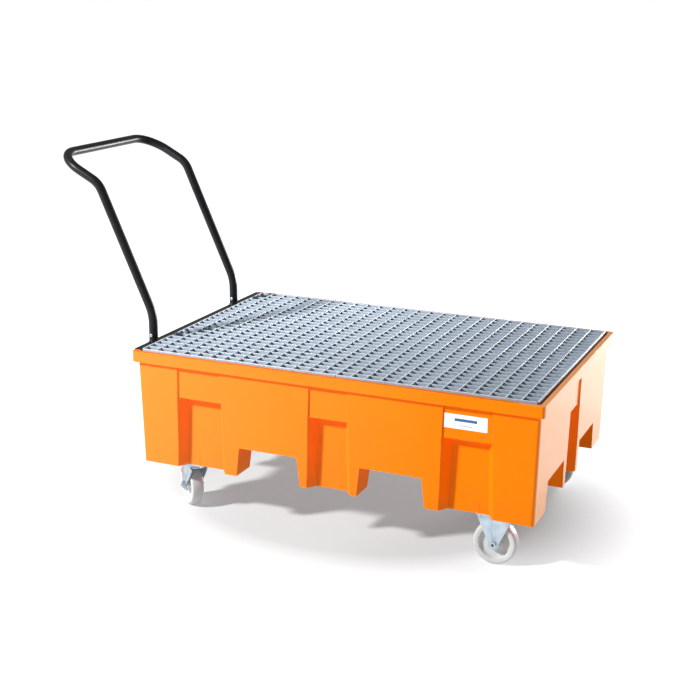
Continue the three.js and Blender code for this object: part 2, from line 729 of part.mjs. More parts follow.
// The wheel about its own middle, its axis along Z: hub, thin web, thick tread ring.
function wheel() {
  const bore = AXLE.bush + GAP;
  const edge = WHEEL_R - TREAD_ROUND;
  const upper = [
    [WHEEL_R - 1, WHEEL_HALF_WIDTH - TREAD_ROUND + 2],
    [edge, WHEEL_HALF_WIDTH],
    [TREAD_INNER_R, WHEEL_HALF_WIDTH - 2],
    [TREAD_INNER_R - 3, WEB_HALF],
    [bore + 10, WEB_HALF],
    [bore + 8, HUB_HALF_WIDTH],
    [bore, HUB_HALF_WIDTH],
  ];
  const lower = upper.map(([r, z]) => [r, -z]).reverse();
  return turned([...lower, [WHEEL_R, 0], ...upper, lower[0]], SIDES.wheel);
}

function axleBush() {
  const half = FORK_INNER - GAP;
  const outside = round(AXLE.bush, -half, half, SIDES.crown);
  return outside.subtract(round(AXLE.shank + GAP, -half - 1, half + 1, SIDES.bore));
}

// The axle bolt about the wheel's middle, its head at +Z; the nut closes the other end.
const LEG_OUTSIDE = FORK_INNER + FORK_SHEET + GAP;
const NUT_HEIGHT = 8;
const THREAD_END = 3; // how far the bolt stands out of its nut

function axleBolt() {
  const end = -LEG_OUTSIDE - NUT_HEIGHT - THREAD_END;
  const shank = round(AXLE.shank, end, LEG_OUTSIDE + 1, SIDES.bore);
  return shank.add(round(AXLE.head, LEG_OUTSIDE, LEG_OUTSIDE + AXLE.headHeight, SIDES.hexagon));
}

function axleNut() {
  const nut = round(AXLE.head, -LEG_OUTSIDE - NUT_HEIGHT, -LEG_OUTSIDE, SIDES.hexagon);
  return nut.subtract(round(AXLE.shank + GAP, -LEG_OUTSIDE - NUT_HEIGHT - 1, 0, SIDES.bore));
}

function addCaster({ name, x, y, turn, swivels }) {
  const plateFrame = addFrame(trayFrame, x, y, 0);
  boltPlaces.forEach(([dx, dy], i) => {
    const place = addFrame(plateFrame, dx, dy, -PLATE_THICKNESS - GAP);
    place.rotation.x = Math.PI;
    addPiece(place, "plate_bolt_" + name + "_" + (i + 1), screw(BOLT, BOLT.reach, SIDES.hexagon), ZINC_PLATE);
  });
  const forkFrame = addFrame(plateFrame, 0, 0, 0, turn);
  if (swivels) {
    addPiece(plateFrame, "top_plate_" + name, plateWithHoles(AXLE.shank + GAP), ZINC_PLATE);
    addPiece(plateFrame, "ball_race_" + name, raceRing(), ZINC_PLATE);
    addPiece(plateFrame, "kingpin_" + name, kingpin(), ZINC_PLATE);
    addPiece(forkFrame, "swivel_fork_" + name, swivelFork(), ZINC_PLATE);
  } else {
    addPiece(forkFrame, "fixed_fork_" + name, fixedFork(), ZINC_PLATE);
  }
  const axle = addFrame(forkFrame, swivels ? -TRAIL : 0, 0, -AXLE_DROP);
  axle.rotation.x = Math.PI / 2; // +Z of the axle's frame points out to the right-hand side
  addPiece(axle, "wheel_" + name, wheel(), WHITE_NYLON);
  addPiece(axle, "axle_bush_" + name, axleBush(), ZINC_PLATE);
  addPiece(axle, "axle_bolt_" + name, axleBolt(), ZINC_PLATE);
  addPiece(axle, "axle_nut_" + name, axleNut(), ZINC_PLATE);
}

casterPlaces.forEach(addCaster);

export default trolley;
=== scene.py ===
"""Looks of a mobile spill tray trolley: moulded tray, pressed grating, tube handle and casters.

Every class below is one sub-assembly or one finish. Sizes are dataclass fields in millimetres
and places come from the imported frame, so each piece lands exactly on its solid.
"""

from __future__ import annotations

import json
import logging
import math
from dataclasses import dataclass
from enum import Enum
from typing import Callable, Iterable, Sequence

import bmesh
import bpy
from mathutils import Matrix, Vector

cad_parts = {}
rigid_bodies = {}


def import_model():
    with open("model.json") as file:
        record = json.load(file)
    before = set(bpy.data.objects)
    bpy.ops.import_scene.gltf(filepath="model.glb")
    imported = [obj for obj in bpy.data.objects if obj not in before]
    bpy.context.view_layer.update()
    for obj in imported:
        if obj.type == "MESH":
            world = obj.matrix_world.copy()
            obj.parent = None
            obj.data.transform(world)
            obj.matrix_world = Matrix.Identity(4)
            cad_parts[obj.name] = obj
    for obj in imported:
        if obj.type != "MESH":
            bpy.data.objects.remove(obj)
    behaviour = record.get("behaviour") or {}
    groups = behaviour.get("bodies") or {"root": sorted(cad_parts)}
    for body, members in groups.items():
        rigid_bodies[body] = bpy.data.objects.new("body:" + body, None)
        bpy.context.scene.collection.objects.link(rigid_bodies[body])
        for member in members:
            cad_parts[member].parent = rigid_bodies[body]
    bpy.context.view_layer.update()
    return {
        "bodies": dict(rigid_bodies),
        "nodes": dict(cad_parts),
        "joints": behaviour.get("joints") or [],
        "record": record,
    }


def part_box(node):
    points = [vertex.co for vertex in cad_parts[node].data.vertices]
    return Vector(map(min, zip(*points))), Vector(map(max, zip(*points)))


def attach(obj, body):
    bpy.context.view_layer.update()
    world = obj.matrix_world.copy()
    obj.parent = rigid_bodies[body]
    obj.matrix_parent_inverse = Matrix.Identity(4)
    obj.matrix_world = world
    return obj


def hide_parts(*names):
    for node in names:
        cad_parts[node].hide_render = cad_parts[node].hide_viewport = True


LOG = logging.getLogger("spill_tray_trolley")
MM = 0.001
GAP = 0.3  # millimetres kept between pieces that touch

Point2 = tuple[float, float]


# ---------------------------------------------------------------------------------------------
# Named choices
# ---------------------------------------------------------------------------------------------


class Slot(Enum):
    """The record's material slots."""

    TRAY = "orange_pe"
    GRATING = "galvanised_steel"
    COAT = "black_coat"
    ZINC = "zinc_plate"
    NYLON = "white_nylon"
    LABEL = "label_film"


class Side(Enum):
    """The two long sides, as a person who pushes the trolley names them."""

    RIGHT = -1
    LEFT = 1

    @property
    def word(self) -> str:
        """The side's name in lower case."""
        return self.name.lower()


class Body(Enum):
    """The bodies that more than one class needs."""

    CHASSIS = "chassis"
    GRATING = "grating_panel"


# ---------------------------------------------------------------------------------------------
# Node trees
# ---------------------------------------------------------------------------------------------


class Graph:
    """A thin wrapper that adds and links the nodes of one tree."""

    def __init__(self, tree: bpy.types.NodeTree) -> None:
        """Start on a tree.

        Args:
            tree: the shader or geometry tree to fill.
        """
        self.tree = tree

    def add(self, kind: str, **settings: object) -> bpy.types.Node:
        """Add a node.

        Args:
            kind: the node's type, such as ShaderNodeBump.
            settings: properties of the node, or values of its input sockets by name.

        Returns:
            The new node.
        """
        node = self.tree.nodes.new(kind)
        for key, value in settings.items():
            if hasattr(node, key):
                setattr(node, key, value)
            else:
                self.put(node.inputs[key.replace("_", " ")], value)
        return node

    def put(self, socket: bpy.types.NodeSocket, value: object) -> None:
        """Set a socket to a value, or link it to another socket.

        Args:
            socket: the input to feed.
            value: a number, a colour, a vector, or the output that feeds it.
        """
        if isinstance(value, bpy.types.NodeSocket):
            self.tree.links.new(value, socket)
        else:
            socket.default_value = value

    def math(self, operation: str, a: object, b: object = 0.0, clamp: bool = False) -> bpy.types.NodeSocket:
        """Add a Math node.

        Args:
            operation: the node's operation.
            a: the first value or socket.
            b: the second value or socket.
            clamp: keep the result within 0 and 1.

        Returns:
            The result's socket.
        """
        node = self.add("ShaderNodeMath", operation=operation, use_clamp=clamp)
        self.put(node.inputs[0], a)
        self.put(node.inputs[1], b)
        return node.outputs[0]

    def remap(
        self, value: object, low: float, high: float, to_low: float = 0.0, to_high: float = 1.0
    ) -> bpy.types.NodeSocket:
        """Add a clamped Map Range node.

        Args:
            value: the socket to remap.
            low: the value that becomes to_low.
            high: the value that becomes to_high.
            to_low: the result at low.
            to_high: the result at high.

        Returns:
            The result's socket.
        """
        node = self.add("ShaderNodeMapRange", clamp=True)
        for index, number in enumerate((value, low, high, to_low, to_high)):
            self.put(node.inputs[index], number)
        return node.outputs[0]

    def mix(self, amount: object, a: object, b: object) -> bpy.types.NodeSocket:
        """Mix two colours.

        Args:
            amount: how much of b shows, from 0 to 1.
            a: the first colour or socket.
            b: the second colour or socket.

        Returns:
            The mixed colour's socket.
        """
        node = self.add("ShaderNodeMix", data_type="RGBA")
        self.put(node.inputs[0], amount)
        self.put(node.inputs[6], a)
        self.put(node.inputs[7], b)
        return node.outputs[2]


@dataclass(frozen=True)
class Effect:
    """A shared shader group: its name, its inputs with their defaults, and its output."""

    name: str
    inputs: tuple[tuple[str, float], ...]
    output: str
    fill: Callable[[Graph, dict[str, bpy.types.NodeSocket]], bpy.types.NodeSocket]

    def tree(self) -> bpy.types.NodeTree:
        """The group's tree, made the first time it is asked for.

        Returns:
            The shader group.
        """
        found = bpy.data.node_groups.get(self.name)
        if found is not None:
            return found
        tree = bpy.data.node_groups.new(self.name, "ShaderNodeTree")
        tree.interface.new_socket("Vector", in_out="INPUT", socket_type="NodeSocketVector")
        for label, value in self.inputs:
            socket = tree.interface.new_socket(label, in_out="INPUT", socket_type="NodeSocketFloat")
            socket.default_value = value
        tree.interface.new_socket(self.output, in_out="OUTPUT", socket_type="NodeSocketFloat")
        graph = Graph(tree)
        entry = graph.add("NodeGroupInput")
        leave = graph.add("NodeGroupOutput")
        sockets = {socket.name: socket for socket in entry.outputs if socket.name}
        graph.put(leave.inputs[0], self.fill(graph, sockets))
        return tree

    def use(self, graph: Graph, **values: object) -> bpy.types.NodeSocket:
        """Place the effect in a material.

        Args:
            graph: the material's graph.
            values: values or sockets for the group's inputs, with _ for a space.

        Returns:
            The group's output socket.
        """
        node = graph.add("ShaderNodeGroup")
        node.node_tree = self.tree()
        for key, value in values.items():
            graph.put(node.inputs[key.replace("_", " ")], value)
        return node.outputs[0]


def _fill_cloud(graph: Graph, sockets: dict[str, bpy.types.NodeSocket]) -> bpy.types.NodeSocket:
    """Soft patches: one noise, remapped to a mask.

    Args:
        graph: the group's graph.
        sockets: the group's inputs by name.

    Returns:
        The mask.
    """
    noise = graph.add("ShaderNodeTexNoise", Vector=sockets["Vector"], Scale=sockets["Scale"], Detail=4.0)
    low = graph.math("SUBTRACT", 0.5, sockets["Softness"])
    high = graph.math("ADD", 0.5, sockets["Softness"])
    node = graph.add("ShaderNodeMapRange", clamp=True)
    graph.put(node.inputs[0], noise.outputs[0])
    graph.put(node.inputs[1], low)
    graph.put(node.inputs[2], high)
    return node.outputs[0]


def _fill_grain(graph: Graph, sockets: dict[str, bpy.types.NodeSocket]) -> bpy.types.NodeSocket:
    """Fine surface height: pebbled cells over a finer noise.

    Args:
        graph: the group's graph.
        sockets: the group's inputs by name.

    Returns:
        The height.
    """
    vector, scale = sockets["Vector"], sockets["Scale"]
    cells = graph.add("ShaderNodeTexVoronoi", feature="SMOOTH_F1", Vector=vector, Scale=scale)
    finer = graph.math("MULTIPLY", scale, 2.7)
    noise = graph.add("ShaderNodeTexNoise", Vector=vector, Scale=finer, Detail=3.0)
    part = graph.math("MULTIPLY", noise.outputs[0], sockets["Roughness Share"])
    return graph.math("ADD", cells.outputs[0], part)


def _fill_edge(graph: Graph, sockets: dict[str, bpy.types.NodeSocket]) -> bpy.types.NodeSocket:
    """Worn edges: where a rounded normal leaves the true one, broken up by noise.

    Args:
        graph: the group's graph.
        sockets: the group's inputs by name.

    Returns:
        The mask.
    """
    bevel = graph.add("ShaderNodeBevel", samples=4, Radius=sockets["Radius"])
    geometry = graph.add("ShaderNodeNewGeometry")
    dot = graph.add("ShaderNodeVectorMath", operation="DOT_PRODUCT")
    graph.put(dot.inputs[0], bevel.outputs[0])
    graph.put(dot.inputs[1], geometry.outputs["Normal"])
    turned = graph.math("SUBTRACT", 1.0, dot.outputs["Value"])
    scale = sockets["Breakup Scale"]
    noise = graph.add("ShaderNodeTexNoise", Vector=sockets["Vector"], Scale=scale, Detail=5.0)
    broken = graph.math("MULTIPLY", turned, graph.remap(noise.outputs[0], 0.42, 0.62))
    return graph.math("MULTIPLY", broken, sockets["Strength"], clamp=True)


def _fill_low_dirt(graph: Graph, sockets: dict[str, bpy.types.NodeSocket]) -> bpy.types.NodeSocket:
    """Dirt that thins out upwards from the floor.

    Args:
        graph: the group's graph.
        sockets: the group's inputs by name.

    Returns:
        The mask.
    """
    split = graph.add("ShaderNodeSeparateXYZ", Vector=sockets["Vector"])
    node = graph.add("ShaderNodeMapRange", clamp=True)
    graph.put(node.inputs[0], split.outputs[2])
    graph.put(node.inputs[1], sockets["Top"])
    graph.put(node.inputs[2], sockets["Bottom"])
    noise = graph.add("ShaderNodeTexNoise", Vector=sockets["Vector"], Scale=sockets["Scale"], Detail=6.0)
    patchy = graph.remap(noise.outputs[0], 0.4, 0.7)
    return graph.math("MULTIPLY", node.outputs[0], patchy, clamp=True)


def _fill_scratches(graph: Graph, sockets: dict[str, bpy.types.NodeSocket]) -> bpy.types.NodeSocket:
    """Thin scratches: narrow bands of a stretched noise.

    Args:
        graph: the group's graph.
        sockets: the group's inputs by name.

    Returns:
        The mask.
    """
    mapping = graph.add("ShaderNodeMapping")
    graph.put(mapping.inputs["Vector"], sockets["Vector"])
    mapping.inputs["Rotation"].default_value = (0.4, 0.9, 0.6)
    mapping.inputs["Scale"].default_value = (1.0, 9.0, 2.0)
    noise = graph.add("ShaderNodeTexNoise", Vector=mapping.outputs[0], Scale=sockets["Scale"], Detail=2.0)
    away = graph.math("ABSOLUTE", graph.math("SUBTRACT", noise.outputs[0], 0.5))
    return graph.remap(away, 0.006, 0.0)


CLOUD = Effect("soft_patches", (("Scale", 6.0), ("Softness", 0.25)), "Mask", _fill_cloud)
GRAIN = Effect("pebble_grain", (("Scale", 300.0), ("Roughness Share", 0.3)), "Height", _fill_grain)
EDGE = Effect(
    "worn_edges", (("Radius", 0.003), ("Breakup Scale", 40.0), ("Strength", 4.0)), "Mask", _fill_edge
)
LOW_DIRT = Effect(
    "dirt_near_floor", (("Top", 0.3), ("Bottom", 0.15), ("Scale", 12.0)), "Mask", _fill_low_dirt
)
SCRATCHES = Effect("thin_scratches", (("Scale", 14.0),), "Mask", _fill_scratches)


# ---------------------------------------------------------------------------------------------
# Finishes
# ---------------------------------------------------------------------------------------------

Colour = tuple[float, float, float, float]


def tint(red: float, green: float, blue: float) -> Colour:
    """A solid colour in linear light."""
    return (red, green, blue, 1.0)


@dataclass(frozen=True)
class Finish:
    """Base of every finish: a named material with one Principled shader."""

    name: str = "finish"

    def material(self) -> bpy.types.Material:
        """The finish's material, made the first time it is asked for.

        Returns:
            The material.
        """
        found = bpy.data.materials.get(self.name)
        if found is not None:
            return found
        made = bpy.data.materials.new(self.name)
        made.use_nodes = True
        graph = Graph(made.node_tree)
        shader = made.node_tree.nodes["Principled BSDF"]
        coordinates = graph.add("ShaderNodeTexCoord").outputs["Object"]
        self.dress(graph, shader, coordinates)
        return made

    def dress(self, graph: Graph, shader: bpy.types.Node, place: bpy.types.NodeSocket) -> None:
        """Fill the material.

        Args:
            graph: the material's graph.
            shader: its Principled node.
            place: the object coordinates.
        """
        raise NotImplementedError

    @staticmethod
    def bump(
        graph: Graph,
        shader: bpy.types.Node,
        height: bpy.types.NodeSocket,
        strength: float,
        distance: float,
    ) -> None:
        """Feed a height into the shader's normal.

        Args:
            graph: the material's graph.
            shader: its Principled node.
            height: the height's socket.
            strength: the bump's strength.
            distance: the height's size in metres.
        """
        node = graph.add("ShaderNodeBump", Strength=strength, Distance=distance, Height=height)
        graph.put(shader.inputs["Normal"], node.outputs[0])


@dataclass(frozen=True)
class MouldedPolyethylene(Finish):
    """Orange tray plastic: satin, faintly pebbled, paler where worn, dusty at the feet, with a painted paler
    light tone towards the handle end and a painted glare on the front end.
    """

    name: str = "orange_polyethylene"
    base: Colour = tint(0.99, 0.222, 0.001)
    deeper: Colour = tint(0.96, 0.198, 0.001)
    # the paler tone of worn edges and scuffs
    faded: Colour = tint(1.0, 0.255, 0.035)
    # painted light: a paler tone that grows towards the handle end, standing for the light that falls there
    rubbed: Colour = tint(1.0, 0.42, 0.10)
    # painted highlight: the pale glare colour of the front end's faces
    bleached: Colour = tint(1.0, 0.38, 0.09)
    dirt: Colour = tint(0.28, 0.12, 0.03)
    near_bounce: Colour = tint(1.25, 0.17, 0.0)
    far_bounce: Colour = tint(0.26, 0.19, 0.17)
    faded_from: float = 0.55  # metres along the trolley; the paler tone matches one view's light
    faded_to: float = -0.45
    glossy_from: float = 0.70  # the front end's bright tone, which stands for glare and not for wear
    glossy_to: float = 0.735
    bounce_reach: float = 0.145  # metres beyond which reflected light is held near grey
    wear_share: float = 0.45
    scuff_share: float = 0.05
    dirt_share: float = 0.16
    smoothest: float = 0.42
    roughest: float = 0.52
    dirt_roughness: float = 0.15

    def dress(self, graph: Graph, shader: bpy.types.Node, place: bpy.types.NodeSocket) -> None:
        """Fill the material.

        Args:
            graph: the material's graph.
            shader: its Principled node.
            place: the object coordinates.
        """
        patches = CLOUD.use(graph, Vector=place, Scale=3.5, Softness=0.3)
        edges = EDGE.use(graph, Vector=place, Radius=0.004, Breakup_Scale=30.0, Strength=3.0)
        scuffs = SCRATCHES.use(graph, Vector=place, Scale=5.0)
        faint = graph.math("MULTIPLY", scuffs, self.scuff_share)
        low = LOW_DIRT.use(graph, Vector=place, Top=0.25, Bottom=0.15, Scale=16.0)
        colour = graph.mix(patches, self.base, self.deeper)
        along = graph.add("ShaderNodeSeparateXYZ", Vector=place).outputs[0]
        # painted light: the tone turns paler towards the handle end
        colour = graph.mix(graph.remap(along, self.faded_from, self.faded_to), colour, self.faded)
        # painted glare: at the front end, faces that look along +X or upwards turn pale; the coat there adds
        # real reflection
        facing = graph.add("ShaderNodeNewGeometry").outputs["Normal"]
        sides = graph.add("ShaderNodeSeparateXYZ", Vector=facing).outputs
        ahead = graph.remap(graph.math("MAXIMUM", sides[0], sides[2]), 0.6, 0.95)
        glaring = graph.math("MULTIPLY", ahead, graph.remap(along, self.glossy_from, self.glossy_to))
        colour = graph.mix(glaring, colour, self.bleached)
        colour = graph.mix(graph.math("MULTIPLY", edges, self.wear_share), colour, self.rubbed)
        colour = graph.mix(faint, colour, self.rubbed)
        colour = graph.mix(graph.math("MULTIPLY", low, self.dirt_share), colour, self.dirt)
        path = graph.add("ShaderNodeLightPath")
        far = graph.math("GREATER_THAN", path.outputs["Ray Length"], self.bounce_reach)
        bounce = graph.mix(far, self.near_bounce, self.far_bounce)
        graph.put(shader.inputs["Base Color"], graph.mix(path.outputs["Is Diffuse Ray"], colour, bounce))
        rough = graph.remap(patches, 0.0, 1.0, self.smoothest, self.roughest)
        dusty = graph.math("MULTIPLY", low, self.dirt_roughness)
        graph.put(shader.inputs["Roughness"], graph.math("ADD", rough, dusty))
        shader.inputs["Specular IOR Level"].default_value = 0.05
        graph.put(shader.inputs["Coat Weight"], glaring)
        shader.inputs["Coat IOR"].default_value = 1.3
        shader.inputs["Coat Roughness"].default_value = 0.16
        height = GRAIN.use(graph, Vector=place, Scale=260.0, Roughness_Share=0.4)
        self.bump(graph, shader, height, 0.16, 0.0004)


@dataclass(frozen=True)
class Galvanised(Finish):
    """Hot-dip zinc: blue-grey with spangle, uneven gloss and dull runs, and a painted highlight on the bars'
    upward faces.
    """

    name: str = "galvanised_zinc"
    bright: Colour = tint(0.60, 0.69, 0.79)
    dull: Colour = tint(0.31, 0.38, 0.46)
    # painted highlight colour for the bars' upward faces
    rubbed: Colour = tint(0.93, 0.96, 1.0)
    smoothest: float = 0.36
    roughest: float = 0.55

    def dress(self, graph: Graph, shader: bpy.types.Node, place: bpy.types.NodeSocket) -> None:
        """Fill the material.

        Args:
            graph: the material's graph.
            shader: its Principled node.
            place: the object coordinates.
        """
        spangle = graph.add("ShaderNodeTexVoronoi", Vector=place, Scale=140.0)
        split = graph.add("ShaderNodeSeparateColor", Color=spangle.outputs["Color"])
        patches = CLOUD.use(graph, Vector=place, Scale=9.0, Softness=0.2)
        shade = graph.math("MULTIPLY", split.outputs[0], 0.45)
        shade = graph.math("ADD", shade, graph.math("MULTIPLY", patches, 0.35), clamp=True)
        facing = graph.add("ShaderNodeNewGeometry").outputs["Normal"]
        upward = graph.add("ShaderNodeSeparateXYZ", Vector=facing).outputs[2]
        # painted highlight: the bars' upward faces turn pale, as lit faces look
        painted_top_highlight = graph.remap(upward, 0.5, 0.9, 0.0, 0.9)
        colour = graph.mix(painted_top_highlight, graph.mix(shade, self.bright, self.dull), self.rubbed)
        graph.put(shader.inputs["Base Color"], colour)
        rough = graph.remap(shade, 0.0, 1.0, self.smoothest, self.roughest)
        graph.put(shader.inputs["Roughness"], rough)
        graph.put(shader.inputs["Metallic"], graph.remap(upward, 0.5, 0.9, 0.5, 0.12))
        height = GRAIN.use(graph, Vector=place, Scale=420.0, Roughness_Share=0.6)
        self.bump(graph, shader, height, 0.2, 0.0002)


@dataclass(frozen=True)
class PowderCoat(Finish):
    """Black powder coat: semi-gloss with a fine ripple and a few scratches to grey."""

    name: str = "black_powder_coat"
    coat: Colour = tint(0.009, 0.009, 0.011)
    worn: Colour = tint(0.16, 0.16, 0.17)
    smoothest: float = 0.3
    roughest: float = 0.4

    def dress(self, graph: Graph, shader: bpy.types.Node, place: bpy.types.NodeSocket) -> None:
        """Fill the material.

        Args:
            graph: the material's graph.
            shader: its Principled node.
            place: the object coordinates.
        """
        patches = CLOUD.use(graph, Vector=place, Scale=14.0, Softness=0.25)
        scratch = SCRATCHES.use(graph, Vector=place, Scale=16.0)
        marks = graph.math("MULTIPLY", scratch, graph.math("MULTIPLY", patches, 0.35))
        graph.put(shader.inputs["Base Color"], graph.mix(marks, self.coat, self.worn))
        rough = graph.remap(patches, 0.0, 1.0, self.smoothest, self.roughest)
        graph.put(shader.inputs["Roughness"], rough)
        shader.inputs["Specular IOR Level"].default_value = 0.2
        height = GRAIN.use(graph, Vector=place, Scale=520.0, Roughness_Share=0.5)
        self.bump(graph, shader, height, 0.12, 0.0002)


@dataclass(frozen=True)
class ZincPlate(Finish):
    """Bright zinc plating with a cool passivated tone and brushed streaks."""

    name: str = "bright_zinc_plate"
    light: Colour = tint(0.54, 0.63, 0.70)
    shade: Colour = tint(0.36, 0.45, 0.53)
    roughness: float = 0.26

    def dress(self, graph: Graph, shader: bpy.types.Node, place: bpy.types.NodeSocket) -> None:
        """Fill the material.

        Args:
            graph: the material's graph.
            shader: its Principled node.
            place: the object coordinates.
        """
        patches = CLOUD.use(graph, Vector=place, Scale=38.0, Softness=0.22)
        scratch = SCRATCHES.use(graph, Vector=place, Scale=60.0)
        blend = graph.math("MAXIMUM", patches, graph.math("MULTIPLY", scratch, 0.6))
        graph.put(shader.inputs["Base Color"], graph.mix(blend, self.light, self.shade))
        rough = graph.remap(patches, 0.0, 1.0, self.roughness, self.roughness + 0.12)
        graph.put(shader.inputs["Roughness"], rough)
        shader.inputs["Metallic"].default_value = 0.7
        height = GRAIN.use(graph, Vector=place, Scale=900.0, Roughness_Share=0.8)
        self.bump(graph, shader, height, 0.08, 0.0001)


@dataclass(frozen=True)
class WhiteNylon(Finish):
    """Cast white polyamide: slightly translucent, with turning marks and a soiled tread."""

    name: str = "white_polyamide"
    clean: Colour = tint(0.64, 0.64, 0.65)
    aged: Colour = tint(0.57, 0.57, 0.57)
    soiled: Colour = tint(0.38, 0.37, 0.35)
    smoothest: float = 0.32
    roughest: float = 0.45

    def dress(self, graph: Graph, shader: bpy.types.Node, place: bpy.types.NodeSocket) -> None:
        """Fill the material.

        Args:
            graph: the material's graph.
            shader: its Principled node.
            place: the object coordinates.
        """
        patches = CLOUD.use(graph, Vector=place, Scale=26.0, Softness=0.3)
        low = LOW_DIRT.use(graph, Vector=place, Top=0.03, Bottom=0.0, Scale=60.0)
        colour = graph.mix(patches, self.clean, self.aged)
        colour = graph.mix(graph.math("MULTIPLY", low, 0.5), colour, self.soiled)
        graph.put(shader.inputs["Base Color"], colour)
        rough = graph.remap(patches, 0.0, 1.0, self.smoothest, self.roughest)
        graph.put(shader.inputs["Roughness"], rough)
        height = GRAIN.use(graph, Vector=place, Scale=700.0, Roughness_Share=0.5)
        self.bump(graph, shader, height, 0.1, 0.0002)


@dataclass(frozen=True)
class PrintedFilm(Finish):
    """Adhesive film or its plain printed bars: glossy, barely uneven."""

    name: str = "label_film"
    face: Colour = tint(0.88, 0.88, 0.87)
    yellowed: Colour = tint(0.82, 0.81, 0.76)
    smoothest: float = 0.22
    roughest: float = 0.32

    def dress(self, graph: Graph, shader: bpy.types.Node, place: bpy.types.NodeSocket) -> None:
        """Fill the material.

        Args:
            graph: the material's graph.
            shader: its Principled node.
            place: the object coordinates.
        """
        patches = CLOUD.use(graph, Vector=place, Scale=30.0, Softness=0.3)
        graph.put(shader.inputs["Base Color"], graph.mix(patches, self.face, self.yellowed))
        rough = graph.remap(patches, 0.0, 1.0, self.smoothest, self.roughest)
        graph.put(shader.inputs["Roughness"], rough)
        height = GRAIN.use(graph, Vector=place, Scale=500.0, Roughness_Share=0.5)
        self.bump(graph, shader, height, 0.06, 0.0002)


@dataclass(frozen=True)
class StudioFloor(Finish):
    """The pale floor: softly shadowed under the trolley, pure white further out; its emission is painted
    light, low round the trolley so that a painted shadow pool stays there.
    """

    name: str = "pale_floor"
    shade: Colour = tint(0.56, 0.56, 0.56)
    paler: Colour = tint(0.58, 0.58, 0.58)
    near_glow: float = 0.19
    far_glow: float = 1.0
    glow_from: float = 0.44  # metres from the middle of the shadow, with the lengths along X shortened
    glow_to: float = 0.76
    shadow_middle: float = 0.12
    shadow_stretch: float = 0.8
    bounce_share: float = 0.5  # how much of the glow lights other pieces

    def dress(self, graph: Graph, shader: bpy.types.Node, place: bpy.types.NodeSocket) -> None:
        """Fill the material.

        Args:
            graph: the material's graph.
            shader: its Principled node.
            place: the object coordinates.
        """
        patches = CLOUD.use(graph, Vector=place, Scale=0.8, Softness=0.3)
        oval = graph.add("ShaderNodeMapping", Vector=place)
        oval.inputs["Location"].default_value = (-self.shadow_middle * self.shadow_stretch, 0.0, 0.0)
        oval.inputs["Scale"].default_value = (self.shadow_stretch, 1.0, 1.0)
        away = graph.add("ShaderNodeVectorMath", operation="LENGTH")
        graph.put(away.inputs[0], oval.outputs[0])
        # painted light: the floor's emission is low round the trolley, a painted shadow pool, and full
        # further out
        reach = (self.glow_from, self.glow_to, self.near_glow, self.far_glow)
        glow = graph.remap(away.outputs["Value"], *reach)
        path = graph.add("ShaderNodeLightPath")
        held = graph.math("MULTIPLY", path.outputs["Is Diffuse Ray"], 1.0 - self.bounce_share)
        glow = graph.math("MULTIPLY", glow, graph.math("SUBTRACT", 1.0, held))
        graph.put(shader.inputs["Base Color"], graph.mix(patches, self.shade, self.paler))
        graph.put(shader.inputs["Emission Strength"], glow)
        shader.inputs["Emission Color"].default_value = tint(1.0, 1.0, 1.0)
        shader.inputs["Specular IOR Level"].default_value = 0.0
        shader.inputs["Roughness"].default_value = 0.9


TRAY_PLASTIC = MouldedPolyethylene()
GALVANISED = Galvanised()
BLACK_COAT = PowderCoat()
ZINC = ZincPlate()
# painted shade: a thin dark disc on each axle bolt's head stands for the shade inside its socket
SOCKET_SHADE = ZincPlate(
    name="dark_bolt_steel", light=tint(0.10, 0.12, 0.14), shade=tint(0.05, 0.06, 0.07), roughness=0.35
)
NYLON = WhiteNylon()
FILM = PrintedFilm()
BLUE_INK = PrintedFilm(name="blue_bar_ink", face=tint(0.02, 0.10, 0.30), yellowed=tint(0.03, 0.12, 0.30))
GREY_INK = PrintedFilm(name="grey_bar_ink", face=tint(0.30, 0.33, 0.36), yellowed=tint(0.34, 0.35, 0.36))


# ---------------------------------------------------------------------------------------------
# Mesh helpers
# ---------------------------------------------------------------------------------------------


